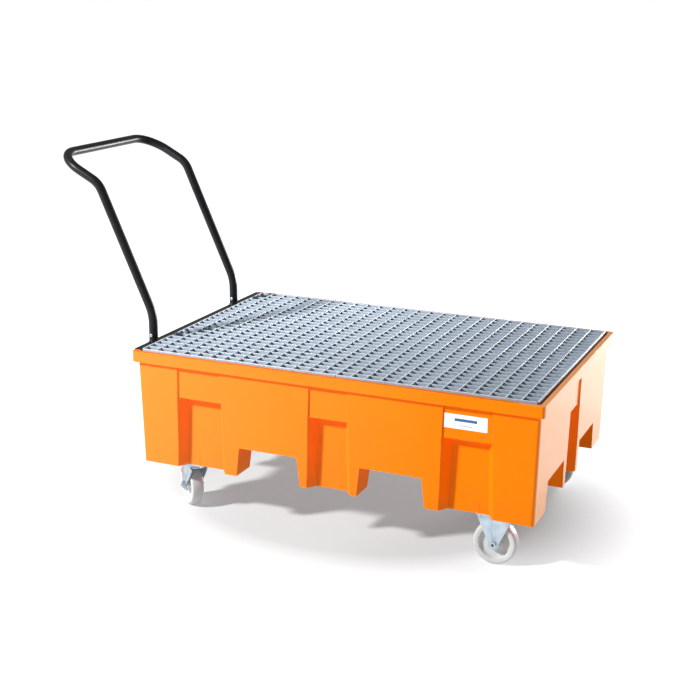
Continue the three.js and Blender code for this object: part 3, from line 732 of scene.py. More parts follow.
class Draft:
    """A mesh that is being drawn, in metres, in the trolley's frame."""

    def __init__(self) -> None:
        """Start empty."""
        self.mesh = bmesh.new()

    def ring(self, points: Iterable[Vector]) -> list[bmesh.types.BMVert]:
        """Add a row of vertices.

        Args:
            points: their places.

        Returns:
            The vertices.
        """
        return [self.mesh.verts.new(point) for point in points]

    def bridge(
        self,
        first: Sequence[bmesh.types.BMVert],
        second: Sequence[bmesh.types.BMVert],
        closed: bool = True,
    ) -> None:
        """Join two rows of the same length with quads.

        Args:
            first: one row.
            second: the next row.
            closed: whether the rows are rings.
        """
        count = len(first)
        for i in range(count if closed else count - 1):
            j = (i + 1) % count
            corners = (first[i], first[j], second[j], second[i])
            unlike = list(dict.fromkeys(corners))
            if len(unlike) > 2:
                self.mesh.faces.new(unlike)

    def lathe(self, profile: Sequence[Point2], frame: Matrix, segments: int) -> None:
        """Turn a profile about the frame's Z axis.

        Args:
            profile: points of (radius, height) in millimetres; a radius of 0 is a pole.
            frame: the turned body's frame.
            segments: steps round the axis.
        """
        rows: list[list[bmesh.types.BMVert]] = []
        for radius, height in profile:
            if radius == 0:
                pole = self.mesh.verts.new(frame @ (Vector((0, 0, height)) * MM))
                rows.append([pole] * segments)
                continue
            angles = [2 * math.pi * i / segments for i in range(segments)]
            spots = [Vector((radius * math.cos(a), radius * math.sin(a), height)) * MM for a in angles]
            rows.append(self.ring(frame @ spot for spot in spots))
        for first, second in zip(rows, rows[1:]):
            self.bridge(first, second)
        if profile[0][0] != 0:
            self.bridge(rows[-1], rows[0])

    def prism(self, outline: Sequence[Point2], low: float, high: float, frame: Matrix) -> None:
        """Extrude an outline along the frame's Z axis.

        Args:
            outline: corners in millimetres.
            low: the first height.
            high: the last height.
            frame: the prism's frame.
        """
        rows = [self.ring(frame @ (Vector((x, y, z)) * MM) for x, y in outline) for z in (low, high)]
        self.bridge(rows[0], rows[1])
        self.mesh.faces.new(rows[0])
        self.mesh.faces.new(rows[1])

    def bevel(self, radius: float, segments: int, keep: Callable[[bmesh.types.BMEdge], bool]) -> None:
        """Round some edges.

        Args:
            radius: the width of the rounding in millimetres.
            segments: its steps.
            keep: picks the edges to round.
        """
        picked = [edge for edge in self.mesh.edges if keep(edge)]
        bmesh.ops.bevel(
            self.mesh,
            geom=picked,
            offset=radius * MM,
            offset_type="OFFSET",
            segments=segments,
            profile=0.5,
            affect="EDGES",
            clamp_overlap=True,
            miter_outer="ARC",
        )

    def finish(self, name: str, smooth_below: float = 40.0) -> bpy.types.Object:
        """Close the draft and make its object.

        Args:
            name: the piece's name.
            smooth_below: faces that meet at less than this many degrees are shaded smooth.

        Returns:
            The new object, at the origin.
        """
        bmesh.ops.remove_doubles(self.mesh, verts=self.mesh.verts, dist=1e-6)
        bmesh.ops.recalc_face_normals(self.mesh, faces=self.mesh.faces)
        data = bpy.data.meshes.new(name)
        self.mesh.to_mesh(data)
        self.mesh.free()
        return place_mesh(data, name, smooth_below)


def place_mesh(data: bpy.types.Mesh, name: str, smooth_below: float = 40.0) -> bpy.types.Object:
    """Put a mesh in the scene as an object at the origin.

    Args:
        data: the mesh.
        name: the piece's name.
        smooth_below: faces that meet at less than this many degrees are shaded smooth.

    Returns:
        The new object.
    """
    data.name = name
    data.shade_smooth()
    data.set_sharp_from_angle(angle=math.radians(smooth_below))
    made = bpy.data.objects.new(name, data)
    bpy.context.scene.collection.objects.link(made)
    return made


def weigh_normals(piece: bpy.types.Object) -> None:
    """Let the large faces keep their own normals, so that only the roundings shade smooth.

    Args:
        piece: the piece, whose mesh is swapped for one with weighted normals.
    """
    modifier = piece.modifiers.new("weighted_normal", "WEIGHTED_NORMAL")
    modifier.keep_sharp = True
    modifier.weight = 100
    plain = piece.data
    evaluated = piece.evaluated_get(bpy.context.evaluated_depsgraph_get())
    weighted = bpy.data.meshes.new_from_object(evaluated)
    piece.modifiers.remove(modifier)
    piece.data = weighted
    bpy.data.meshes.remove(plain)
    weighted.name = piece.name


def steep(degrees: float, shortest: float = 0.0) -> Callable[[bmesh.types.BMEdge], bool]:
    """A rule that picks edges by their fold and their length.

    Args:
        degrees: the smallest angle between the edge's faces.
        shortest: the smallest length in millimetres.

    Returns:
        The rule.
    """

    def keep(edge: bmesh.types.BMEdge) -> bool:
        """Whether the edge is sharp and long enough."""
        if not edge.is_manifold or edge.calc_length() < shortest * MM:
            return False
        return edge.calc_face_angle(0.0) > math.radians(degrees)

    return keep


def arc(mid: Point2, radius: float, start: float, stop: float, steps: int) -> list[Point2]:
    """Points round part of a circle.

    Args:
        mid: the circle's middle.
        radius: its radius.
        start: the first angle in degrees.
        stop: the last angle in degrees.
        steps: the number of steps.

    Returns:
        The points, both ends included.
    """
    angles = [math.radians(start + (stop - start) * i / steps) for i in range(steps + 1)]
    return [(mid[0] + radius * math.cos(a), mid[1] + radius * math.sin(a)) for a in angles]


def rounded_rectangle(half_x: float, half_y: float, radius: float, steps: int = 6) -> list[Point2]:
    """The outline of a rectangle with round corners.

    Args:
        half_x: half its length.
        half_y: half its width.
        radius: the corners' radius.
        steps: steps round each corner.

    Returns:
        The outline, counter-clockwise.
    """
    outline: list[Point2] = []
    for index, (sx, sy) in enumerate(((1, 1), (-1, 1), (-1, -1), (1, -1))):
        mid = (sx * (half_x - radius), sy * (half_y - radius))
        outline += arc(mid, radius, 90.0 * index, 90.0 * (index + 1), steps)
    return outline


def dress(piece: bpy.types.Object, finish: Finish, slot: Slot, body: str, *nodes: str) -> bpy.types.Object:
    """Give a piece its finish and body, and let it stand for its CAD nodes.

    Args:
        piece: the piece.
        finish: its finish.
        slot: the record's slot that the finish belongs to; not used.
        body: the body that it rides on.
        nodes: the CAD nodes that it replaces.

    Returns:
        The piece.
    """
    if not piece.data.materials:
        piece.data.materials.append(finish.material())
    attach(piece, body)
    if nodes:
        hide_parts(*nodes)
    LOG.info("%s: %d faces", piece.name, len(piece.data.polygons))
    return piece


# ---------------------------------------------------------------------------------------------
# Geometry node rigs
# ---------------------------------------------------------------------------------------------


class Rig:
    """A geometry node tree with named inputs that is turned into a plain mesh."""

    def __init__(self, name: str) -> None:
        """Start a tree.

        Args:
            name: the tree's name.
        """
        self.tree = bpy.data.node_groups.new(name, "GeometryNodeTree")
        self.graph = Graph(self.tree)
        self.entry = self.graph.add("NodeGroupInput")
        self.parts: list[bpy.types.NodeSocket] = []
        self.identifiers: dict[str, str] = {}

    def number(self, label: str, whole: bool = False) -> bpy.types.NodeSocket:
        """Add a named number to the tree's inputs.

        Args:
            label: the input's name.
            whole: whether it is an integer.

        Returns:
            The input's socket inside the tree.
        """
        kind = "NodeSocketInt" if whole else "NodeSocketFloat"
        item = self.tree.interface.new_socket(label, in_out="INPUT", socket_type=kind)
        self.identifiers[label] = item.identifier
        return next(s for s in self.entry.outputs if s.identifier == item.identifier)

    def triple(self, x: object, y: object, z: object) -> bpy.types.NodeSocket:
        """Join three values into a vector.

        Args:
            x: the first value or socket.
            y: the second value or socket.
            z: the third value or socket.

        Returns:
            The vector's socket.
        """
        node = self.graph.add("ShaderNodeCombineXYZ")
        for socket, value in zip(node.inputs, (x, y, z)):
            self.graph.put(socket, value)
        return node.outputs[0]

    def build(self, name: str, finish: Finish, values: dict[str, float]) -> bpy.types.Mesh:
        """Close the tree, run it and return its result.

        Args:
            name: the mesh's name.
            finish: the finish that the tree sets.
            values: the inputs' values by name.

        Returns:
            A plain mesh.
        """
        self.tree.interface.new_socket("Geometry", in_out="OUTPUT", socket_type="NodeSocketGeometry")
        join = self.graph.add("GeometryNodeJoinGeometry")
        for part in self.parts:
            self.tree.links.new(part, join.inputs[0])
        real = self.graph.add("GeometryNodeRealizeInstances")
        self.tree.links.new(join.outputs[0], real.inputs[0])
        paint = self.graph.add("GeometryNodeSetMaterial")
        self.tree.links.new(real.outputs[0], paint.inputs[0])
        paint.inputs["Material"].default_value = finish.material()
        leave = self.graph.add("NodeGroupOutput")
        self.tree.links.new(paint.outputs[0], leave.inputs[0])
        carrier = bpy.data.objects.new(name + "_rig", bpy.data.meshes.new(name + "_rig"))
        bpy.context.scene.collection.objects.link(carrier)
        modifier = carrier.modifiers.new("rig", "NODES")
        modifier.node_group = self.tree
        for label, value in values.items():
            modifier[self.identifiers[label]] = value
        evaluated = carrier.evaluated_get(bpy.context.evaluated_depsgraph_get())
        made = bpy.data.meshes.new_from_object(evaluated)
        made.name = name
        carrier.modifiers.remove(modifier)
        bpy.data.objects.remove(carrier)
        return made


# ---------------------------------------------------------------------------------------------
# Tray and label
# ---------------------------------------------------------------------------------------------


@dataclass
class SumpTray:
    """The moulded tray, its edges rounded as a moulding's are."""

    node: str = "sump_tray"
    corner_radius: float = 9.0
    edge_radius: float = 3.5
    shortest_edge: float = 16.0
    flat_within: float = 0.6

    def build(self, frame: dict) -> bpy.types.Object:
        """Make the tray.


        Returns:
            The tray.
        """
        draft = Draft()
        draft.mesh.from_mesh(frame["nodes"][self.node].data)
        bmesh.ops.remove_doubles(draft.mesh, verts=draft.mesh.verts, dist=2e-6)
        bmesh.ops.dissolve_limit(
            draft.mesh,
            angle_limit=math.radians(self.flat_within),
            verts=draft.mesh.verts,
            edges=draft.mesh.edges,
        )
        draft.bevel(self.corner_radius, 5, self.is_outer_corner(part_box(self.node)))
        draft.bevel(self.edge_radius, 3, steep(30.0, self.shortest_edge))
        piece = draft.finish("tray_shell", 35.0)
        weigh_normals(piece)
        return dress(piece, TRAY_PLASTIC, Slot.TRAY, Body.CHASSIS.value, self.node)

    @staticmethod
    def is_outer_corner(box: tuple[Vector, Vector]) -> Callable[[bmesh.types.BMEdge], bool]:
        """A rule that picks the tray's four upright outer corners.

        Args:
            box: the tray's lowest and highest corners.

        Returns:
            The rule.
        """
        low, high = box
        margin = 25 * MM

        def keep(edge: bmesh.types.BMEdge) -> bool:
            """Whether the edge stands at an outer corner."""
            a, b = (vertex.co for vertex in edge.verts)
            upright = abs(a.z - b.z) > 0.9 * (a - b).length
            near_x = min(abs(a.x - low.x), abs(a.x - high.x)) < margin
            near_y = min(abs(a.y - low.y), abs(a.y - high.y)) < margin
            return upright and near_x and near_y and edge.calc_length() > margin

        return keep


@dataclass
class BlankLabel:
    """A plain white label with two unlettered bars."""

    node: str = "label_plate"
    corner_radius: float = 2.0
    bar_rise: float = 0.08
    bars: tuple[tuple[Finish, float, float, float], ...] = (
        (BLUE_INK, 0.52, 0.20, 0.12),
        (GREY_INK, 0.30, 0.05, -0.26),
    )

    def build(self) -> bpy.types.Object:
        """Make the label, leaning with the wall behind it.

        Returns:
            The label.
        """
        low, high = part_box(self.node)
        size = (high - low) / MM
        lean = math.asin(min(1.0, (size.y - 0.6) / size.z))
        frame = Matrix.Translation((low + high) / 2) @ Matrix.Rotation(math.pi / 2 + lean, 4, "X")
        draft = Draft()
        face = rounded_rectangle(size.x / 2, size.z / 2, self.corner_radius)
        draft.prism(face, -0.3, 0.3, frame)
        plates = len(draft.mesh.faces)
        for index, (_, width, height, rise) in enumerate(self.bars):
            middle = Matrix.Translation(Vector((0, rise * size.z, 0)) * MM)
            outline = rounded_rectangle(width * size.x / 2, height * size.z / 2, 0.6, 3)
            draft.prism(outline, 0.3, 0.3 + self.bar_rise, frame @ middle)
            draft.mesh.faces.ensure_lookup_table()
            for face_index in range(plates, len(draft.mesh.faces)):
                draft.mesh.faces[face_index].material_index = index + 1
            plates = len(draft.mesh.faces)
        piece = draft.finish("blank_label")
        for finish in (FILM, *(bar[0] for bar in self.bars)):
            piece.data.materials.append(finish.material())
        return dress(piece, FILM, Slot.LABEL, Body.CHASSIS.value, self.node)


# ---------------------------------------------------------------------------------------------
# Grating
# ---------------------------------------------------------------------------------------------


@dataclass
class PressedGrating:
    """A pressed grating: deep bars along it, shallow bars across it, and a border."""

    node: str = "grating"
    bar_width: float = 3.0
    cross_width: float = 3.4
    cross_depth: float = 10.0
    border_width: float = 4.0
    bearing_gaps: int = 24
    cross_gaps: int = 27
    cross_proud: float = 0.5
    wobble: float = 0.35
    edge_radius: float = 0.5
    seed: int = 7

    def build(self) -> bpy.types.Object:
        """Make the grating.

        Returns:
            The grating.
        """
        low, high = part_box(self.node)
        rig = Rig("pressed_grating")
        length = rig.number("Length")
        width = rig.number("Width")
        depth = rig.number("Depth")
        cross_depth = rig.number("Cross Depth")
        seed = rig.number("Seed", whole=True)
        graph = rig.graph
        long_bar = rig.triple(length, self.bar_width * MM, depth)
        short_bar = rig.triple(self.cross_width * MM, width, cross_depth)
        bearing = self.row(rig, "Bearing Gaps", width, 1, long_bar, seed)
        across = self.row(rig, "Cross Gaps", length, 0, short_bar, seed)
        lift = graph.math("MULTIPLY", graph.math("SUBTRACT", depth, cross_depth), 0.5)
        top = graph.math("ADD", lift, self.cross_proud * MM)
        raised = graph.add("GeometryNodeTransform")
        graph.put(raised.inputs["Geometry"], across)
        graph.put(raised.inputs["Translation"], rig.triple(0.0, 0.0, top))
        rig.parts = [bearing, raised.outputs[0], *self.border(rig, length, width, depth)]
        mesh = rig.build(
            "grating_panel",
            GALVANISED,
            {
                "Length": high.x - low.x,
                "Width": high.y - low.y,
                "Depth": high.z - low.z - self.cross_proud * MM,
                "Cross Depth": self.cross_depth * MM,
                "Bearing Gaps": self.bearing_gaps,
                "Cross Gaps": self.cross_gaps,
                "Seed": self.seed,
            },
        )
        mesh.transform(Matrix.Translation((low + high) / 2 - Vector((0, 0, self.cross_proud * MM / 2))))
        draft = Draft()
        draft.mesh.from_mesh(mesh)
        bpy.data.meshes.remove(mesh)
        draft.bevel(self.edge_radius, 2, steep(60.0))
        piece = draft.finish("grating_panel", 50.0)
        piece.data.materials.append(GALVANISED.material())
        return dress(piece, GALVANISED, Slot.GRATING, Body.GRATING.value, self.node)

    def row(
        self,
        rig: Rig,
        label: str,
        span: bpy.types.NodeSocket,
        axis: int,
        size: bpy.types.NodeSocket,
        seed: bpy.types.NodeSocket,
    ) -> bpy.types.NodeSocket:
        """One family of equal bars.

        Args:
            rig: the tree.
            label: the name of the input that counts the gaps.
            span: the distance that the gaps share.
            axis: 0 where the row runs along X, 1 where it runs along Y.
            size: the bar's size.
            seed: the tree's seed.

        Returns:
            The row's geometry.
        """
        graph = rig.graph
        gaps = rig.number(label, whole=True)
        inner = graph.math("SUBTRACT", span, self.border_width * MM)
        pitch = graph.math("DIVIDE", inner, gaps)
        start = graph.math("SUBTRACT", pitch, graph.math("MULTIPLY", inner, 0.5))

        def along(value: bpy.types.NodeSocket) -> bpy.types.NodeSocket:
            """A vector of this length along the row."""
            return rig.triple(*((value, 0.0, 0.0) if axis == 0 else (0.0, value, 0.0)))

        line = graph.add("GeometryNodeMeshLine", mode="OFFSET")
        graph.put(line.inputs["Count"], graph.math("SUBTRACT", gaps, 1.0))
        graph.put(line.inputs["Start Location"], along(start))
        graph.put(line.inputs["Offset"], along(pitch))
        bar = graph.add("GeometryNodeMeshCube")
        graph.put(bar.inputs["Size"], size)
        copies = graph.add("GeometryNodeInstanceOnPoints")
        graph.put(copies.inputs["Points"], line.outputs[0])
        graph.put(copies.inputs["Instance"], bar.outputs[0])
        drift = graph.add("FunctionNodeRandomValue", data_type="FLOAT_VECTOR")
        reach = self.wobble * MM / 2
        drift.inputs[0].default_value = (-reach, -reach, -reach / 2)
        drift.inputs[1].default_value = (reach, reach, 0.0)
        graph.put(drift.inputs["Seed"], seed)
        nudge = graph.add("GeometryNodeTranslateInstances")
        graph.put(nudge.inputs["Instances"], copies.outputs[0])
        graph.put(nudge.inputs["Translation"], drift.outputs[0])
        return nudge.outputs[0]

    def border(
        self,
        rig: Rig,
        length: bpy.types.NodeSocket,
        width: bpy.types.NodeSocket,
        depth: bpy.types.NodeSocket,
    ) -> list[bpy.types.NodeSocket]:
        """The four border bars.

        Args:
            rig: the tree.
            length: the grating's length.
            width: its width.
            depth: its depth.

        Returns:
            Their geometry.
        """
        graph = rig.graph
        thick = self.border_width * MM
        made = []
        for sign in (-0.5, 0.5):
            for axis in (0, 1):
                span = (length, width)[1 - axis]
                size = rig.triple(thick, span, depth) if axis == 0 else rig.triple(span, thick, depth)
                bar = graph.add("GeometryNodeMeshCube")
                graph.put(bar.inputs["Size"], size)
                edge = graph.math("MULTIPLY", graph.math("SUBTRACT", (length, width)[axis], thick), sign)
                place = rig.triple(edge, 0.0, 0.0) if axis == 0 else rig.triple(0.0, edge, 0.0)
                moved = graph.add("GeometryNodeTransform")
                graph.put(moved.inputs["Geometry"], bar.outputs[0])
                graph.put(moved.inputs["Translation"], place)
                made.append(moved.outputs[0])
        return made


# ---------------------------------------------------------------------------------------------
# Handle
# ---------------------------------------------------------------------------------------------


@dataclass
class PushHandle:
    """The bent tube handle, its mounting angle and their fasteners."""

    tube_radius: float = 13.45
    tube_wall: float = 2.3
    half_spacing: float = 256.0
    kink: tuple[float, float, float] = (0.0, 74.0, 140.0)  # back, height above the rim, radius
    elbow: tuple[float, float, float] = (173.0, 455.0, 72.0)
    corner: tuple[float, float, float] = (317.0, 531.0, 86.0)
    rim_height: float = 344.0
    sides: int = 36
    bend_steps: int = 14
    sheet: float = 3.0
    spigot_wall: float = 2.0
    screw_rise: float = 10.0
    bolt_drop: float = 16.0

    def build(self) -> None:
        """Make the tube, the angle and the fasteners."""
        low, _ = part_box("sump_tray")
        self.rim_back = low.x / MM
        self.rim_top = low.z / MM + self.rim_height
        self.back = 2 * GAP + self.sheet + self.tube_radius
        self.tube()
        self.angle()
        self.fasteners()

    def at(self, back: float, side: float, height: float) -> Vector:
        """A point on the handle's centreline, in millimetres.

        Args:
            back: how far behind the tube's foot.
            side: -1 or 1.
            height: how far above the rim's top.

        Returns:
            The point.
        """
        return Vector((self.rim_back - self.back - back, side * self.half_spacing, self.rim_top + height))

    def centreline(self) -> list[tuple[Vector, Vector]]:
        """The tube's stations from the right foot to the left foot.

        Returns:
            Pairs of a point in millimetres and a unit tangent.
        """
        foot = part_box("push_handle")[0].z / MM - self.rim_top
        half = [(0.0, foot, 0.0), self.kink, self.elbow, self.corner]
        right = [(self.at(back, -1, height), radius) for back, height, radius in half]
        left = [(self.at(back, 1, height), radius) for back, height, radius in reversed(half)]
        corners = right + left
        stations = [(corners[0][0], (corners[1][0] - corners[0][0]).normalized())]
        for (before, _), (mid, radius), (after, _) in zip(corners, corners[1:], corners[2:]):
            stations += self.bend(before, mid, after, radius)
        stations.append((corners[-1][0], (corners[-1][0] - corners[-2][0]).normalized()))
        return stations

    def bend(self, before: Vector, mid: Vector, after: Vector, radius: float) -> list[tuple[Vector, Vector]]:
        """The stations round one bend.

        Args:
            before: the corner before it.
            mid: the corner that it rounds.
            after: the corner after it.
            radius: its radius.

        Returns:
            Pairs of a point and a unit tangent.
        """
        into = (mid - before).normalized()
        away = (after - mid).normalized()
        turn = into.angle(away)
        start = mid - into * radius * math.tan(turn / 2)
        inward = (away - into * away.dot(into)).normalized()
        stations = []
        for step in range(self.bend_steps + 1):
            a = turn * step / self.bend_steps
            point = start + into * radius * math.sin(a) + inward * radius * (1 - math.cos(a))
            stations.append((point, into * math.cos(a) + inward * math.sin(a)))
        return stations

    def tube(self) -> None:
        """Sweep the tube's outer and inner walls along the centreline."""
        draft = Draft()
        outer: list[list[bmesh.types.BMVert]] = []
        inner: list[list[bmesh.types.BMVert]] = []
        side = Vector((0.0, 1.0, 0.0))
        for point, tangent in self.centreline():
            side = (side - tangent * side.dot(tangent)).normalized()
            across = tangent.cross(side)
            for rows, radius in ((outer, self.tube_radius), (inner, self.tube_radius - self.tube_wall)):
                angles = [2 * math.pi * i / self.sides for i in range(self.sides)]
                spots = [point + (side * math.cos(a) + across * math.sin(a)) * radius for a in angles]
                rows.append(draft.ring(spot * MM for spot in spots))
        for rows in (outer, inner):
            for first, second in zip(rows, rows[1:]):
                draft.bridge(first, second)
        draft.bridge(outer[0], inner[0])
        draft.bridge(outer[-1], inner[-1])
        piece = draft.finish("handle_tube", 50.0)
        dress(piece, BLACK_COAT, Slot.COAT, Body.CHASSIS.value, "push_handle")

    def angle(self) -> None:
        """Make the folded angle on the rear rim."""
        low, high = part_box("handle_mount_angle")
        back = low.x / MM
        inner = self.sheet * 0.6
        top = self.rim_top + GAP + self.sheet
        outline = [(low.z / MM, back), (low.z / MM, back + self.sheet)]
        fold = (top - self.sheet - inner, back + self.sheet + inner)
        outline += [(top - self.sheet - inner, back + self.sheet)]
        outline += arc(fold, inner, -90.0, 0.0, 4)
        outline += [(top - self.sheet, high.x / MM), (top, high.x / MM)]
        outline += [(top, back + self.sheet + inner)]
        outline += arc(fold, self.sheet + inner, 0.0, -90.0, 5)
        sideways = Matrix(((0, 1, 0, 0), (0, 0, 1, 0), (1, 0, 0, 0), (0, 0, 0, 1)))
        draft = Draft()
        draft.prism(outline, low.y / MM, high.y / MM, sideways)
        draft.bevel(0.6, 2, steep(60.0))
        piece = draft.finish("mount_angle")
        weigh_normals(piece)
        dress(piece, BLACK_COAT, Slot.COAT, Body.CHASSIS.value, "handle_mount_angle")

    def fasteners(self) -> None:
        """Make the dome screws in the tubes, the hexagon bolts behind them and the spigots inside."""
        draft = Draft()
        nodes = []
        across = self.tube_radius + GAP
        for side in Side:
            y = side.value * self.half_spacing
            middle = self.rim_back - self.back
            facing = Matrix.Rotation(math.pi / 2, 4, "X")
            head = Vector((middle, y - across, self.rim_top + self.screw_rise))
            draft.lathe(self.dome(5.4, 3.0), Matrix.Translation(head * MM) @ facing, 32)
            behind = middle - across
            backward = Matrix.Rotation(-math.pi / 2, 4, "Y")
            bolt = Matrix.Translation(Vector((behind, y, self.rim_top - self.bolt_drop)) * MM) @ backward
            hexagon = arc((0.0, 0.0), 5.2, 0.0, 300.0, 5)
            draft.prism(hexagon, -0.5, 3.0, bolt)
            nodes += [f"handle_screw_{side.word}", f"handle_bolt_{side.word}"]
        draft.bevel(0.3, 2, steep(50.0))
        piece = draft.finish("handle_fasteners")
        dress(piece, ZINC, Slot.ZINC, Body.CHASSIS.value, *nodes)
        for side in Side:
            self.spigot(side)

    def spigot(self, side: Side) -> None:
        """Make the stub inside one tube end.

        Args:
            side: the end's side.
        """
        node = "handle_spigot_" + side.word
        low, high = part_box(node)
        middle = (low + high) / 2
        half = (high.z - low.z) / 2 / MM
        outer = (high.x - low.x) / 2 / MM
        inner = outer - self.spigot_wall
        draft = Draft()
        profile = [(inner, -half), (outer, -half), (outer, half - 1.0), (outer - 1.0, half), (inner, half)]
        draft.lathe(profile, Matrix.Translation(middle), 32)
        dress(draft.finish("spigot_" + side.word), BLACK_COAT, Slot.COAT, Body.CHASSIS.value, node)

    @staticmethod
    def dome(radius: float, height: float) -> list[Point2]:
        """The profile of a dome head with a socket.

        Args:
            radius: the head's radius.
            height: its height.

        Returns:
            Points of (radius, height).
        """
        angles = [math.radians(15 * i) for i in range(5)]
        crown = [(radius * math.cos(a), height * math.sin(a)) for a in angles]
        socket = [(radius * 0.32, height * 0.9), (radius * 0.3, 0.8), (0, 0.8)]
        return [(0, -2.0), (radius, -2.0), *crown, *socket]


# ---------------------------------------------------------------------------------------------
# Casters
# ---------------------------------------------------------------------------------------------


@dataclass(frozen=True)
class CasterPlace:
    """Where one caster stands and which bodies its pieces ride on."""

    name: str
    pivot: Vector  # middle of the plate's top face, in metres
    wheel: Vector  # middle of the wheel
    axis: Vector  # unit vector along the axle
    swivels: bool

    @property
    def fork_body(self) -> str:
        """The body that the fork and the axle ride on."""
        return "swivel_" + self.name if self.swivels else Body.CHASSIS.value

    @property
    def wheel_body(self) -> str:
        """The body that the wheel rides on."""
        return "roller_" + self.name

    @property
    def plate_frame(self) -> Matrix:
        """The frame of the plate's top face, along the trolley's axes."""
        return Matrix.Translation(self.pivot)

    @property
    def fork_frame(self) -> Matrix:
        """The plate's frame turned so that +Y runs along the axle."""
        turn = math.atan2(-self.axis.x, self.axis.y)
        return self.plate_frame @ Matrix.Rotation(turn, 4, "Z")

    @property
    def axle_frame(self) -> Matrix:
        """The wheel's frame, +Z along the axle towards the right-hand side."""
        turn = math.atan2(-self.axis.x, self.axis.y)
        turned = Matrix.Rotation(turn, 4, "Z") @ Matrix.Rotation(math.pi / 2, 4, "X")
        return Matrix.Translation(self.wheel) @ turned


def caster_places(frame: dict) -> list[CasterPlace]:
    """Read the casters' places from the frame's joints.


    Returns:
        The four casters.
    """
    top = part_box("sump_tray")[0].z
    spins = [joint for joint in frame["joints"] if joint["name"].endswith("_spin")]
    hinges = [joint for joint in frame["joints"] if joint["type"] == "hinge"]
    turns = {joint["child"]: Vector(joint["pos_m"]) for joint in hinges}
    places = []
    for joint in spins:
        name = joint["child"].removeprefix("roller_")
        wheel = Vector(joint["pos_m"])
        swivels = joint["parent"] != Body.CHASSIS.value
        above = turns[joint["parent"]] if swivels else wheel
        pivot = Vector((above.x, above.y, top))
        places.append(CasterPlace(name, pivot, wheel, Vector(joint["axis"]).normalized(), swivels))
    return places


@dataclass(frozen=True)
class ForkShape:
    """The outline of a fork, seen along the axle and from the side."""

    half_top: float
    bridge: float  # height of the bridge's top face below the plate's top face
    crown: float  # radius of a round bridge, or 0 where the bridge is as wide as the legs
    trail: float
    half_gap: float = 22.6
    sheet: float = 3.0
    shoulder: float = 6.0
    foot_radius: float = 16.0
    straight: float = 12.0
    lean: float = 14.0
    drop: float = 92.5
    rib_height: float = 3.0
    rib_half_width: float = 5.0

    def extent(self, height: float) -> Point2:
        """The leg's two edges at a height.

        Args:
            height: below the plate's top face, so negative.

        Returns:
            The lowest and highest place along the rolling direction.
        """
        lean = math.radians(self.lean)
        tangent = -self.drop + self.foot_radius * math.sin(lean)
        top = -self.bridge - self.straight
        if height <= tangent:
            rise = min(self.foot_radius, abs(height + self.drop))
            half = math.sqrt(max(self.foot_radius**2 - rise**2, 0.0))
            return (-self.trail - half, -self.trail + half)
        share = min(1.0, (height - tangent) / (top - tangent))
        reach = self.foot_radius * math.cos(lean)
        back = (-self.trail - reach) * (1 - share) - self.half_top * share
        front = (-self.trail + reach) * (1 - share) + self.half_top * share
        return (back, front)

    def section(self) -> list[tuple[float, float, float]]:
        """The sheet's middle line from one foot over the bridge to the other.

        Returns:
            Points of (y, z, normal angle in degrees).
        """
        out = self.half_gap + self.sheet / 2
        top = -self.bridge - self.sheet / 2
        bend = self.shoulder - self.sheet / 2
        foot = -self.drop - self.foot_radius * 0.995
        lower = -self.drop + self.foot_radius
        rounds = [foot + (lower - foot) * (1 - math.cos(math.pi * i / 14)) / 2 for i in range(15)]
        upper = [lower + (top - bend - lower) * i / 12 for i in range(1, 12)]
        leg = [(out, z, 0.0) for z in rounds + upper]
        turn = [
            (out - bend + bend * math.cos(a), top - bend + bend * math.sin(a), math.degrees(a))
            for a in (math.radians(90 * i / 5) for i in range(6))
        ]
        flat = [((out - bend) * (1 - i / 5), top, 90.0) for i in range(1, 6)]
        half = leg + turn + flat
        mirrored = [(-y, z, 180.0 - angle) for y, z, angle in reversed(half[:-1])]
        return half + mirrored


FIXED_FORK = ForkShape(half_top=49.0, bridge=3.0, crown=0.0, trail=0.0)
SWIVEL_FORK = ForkShape(half_top=35.0, bridge=14.0, crown=37.0, trail=38.0)


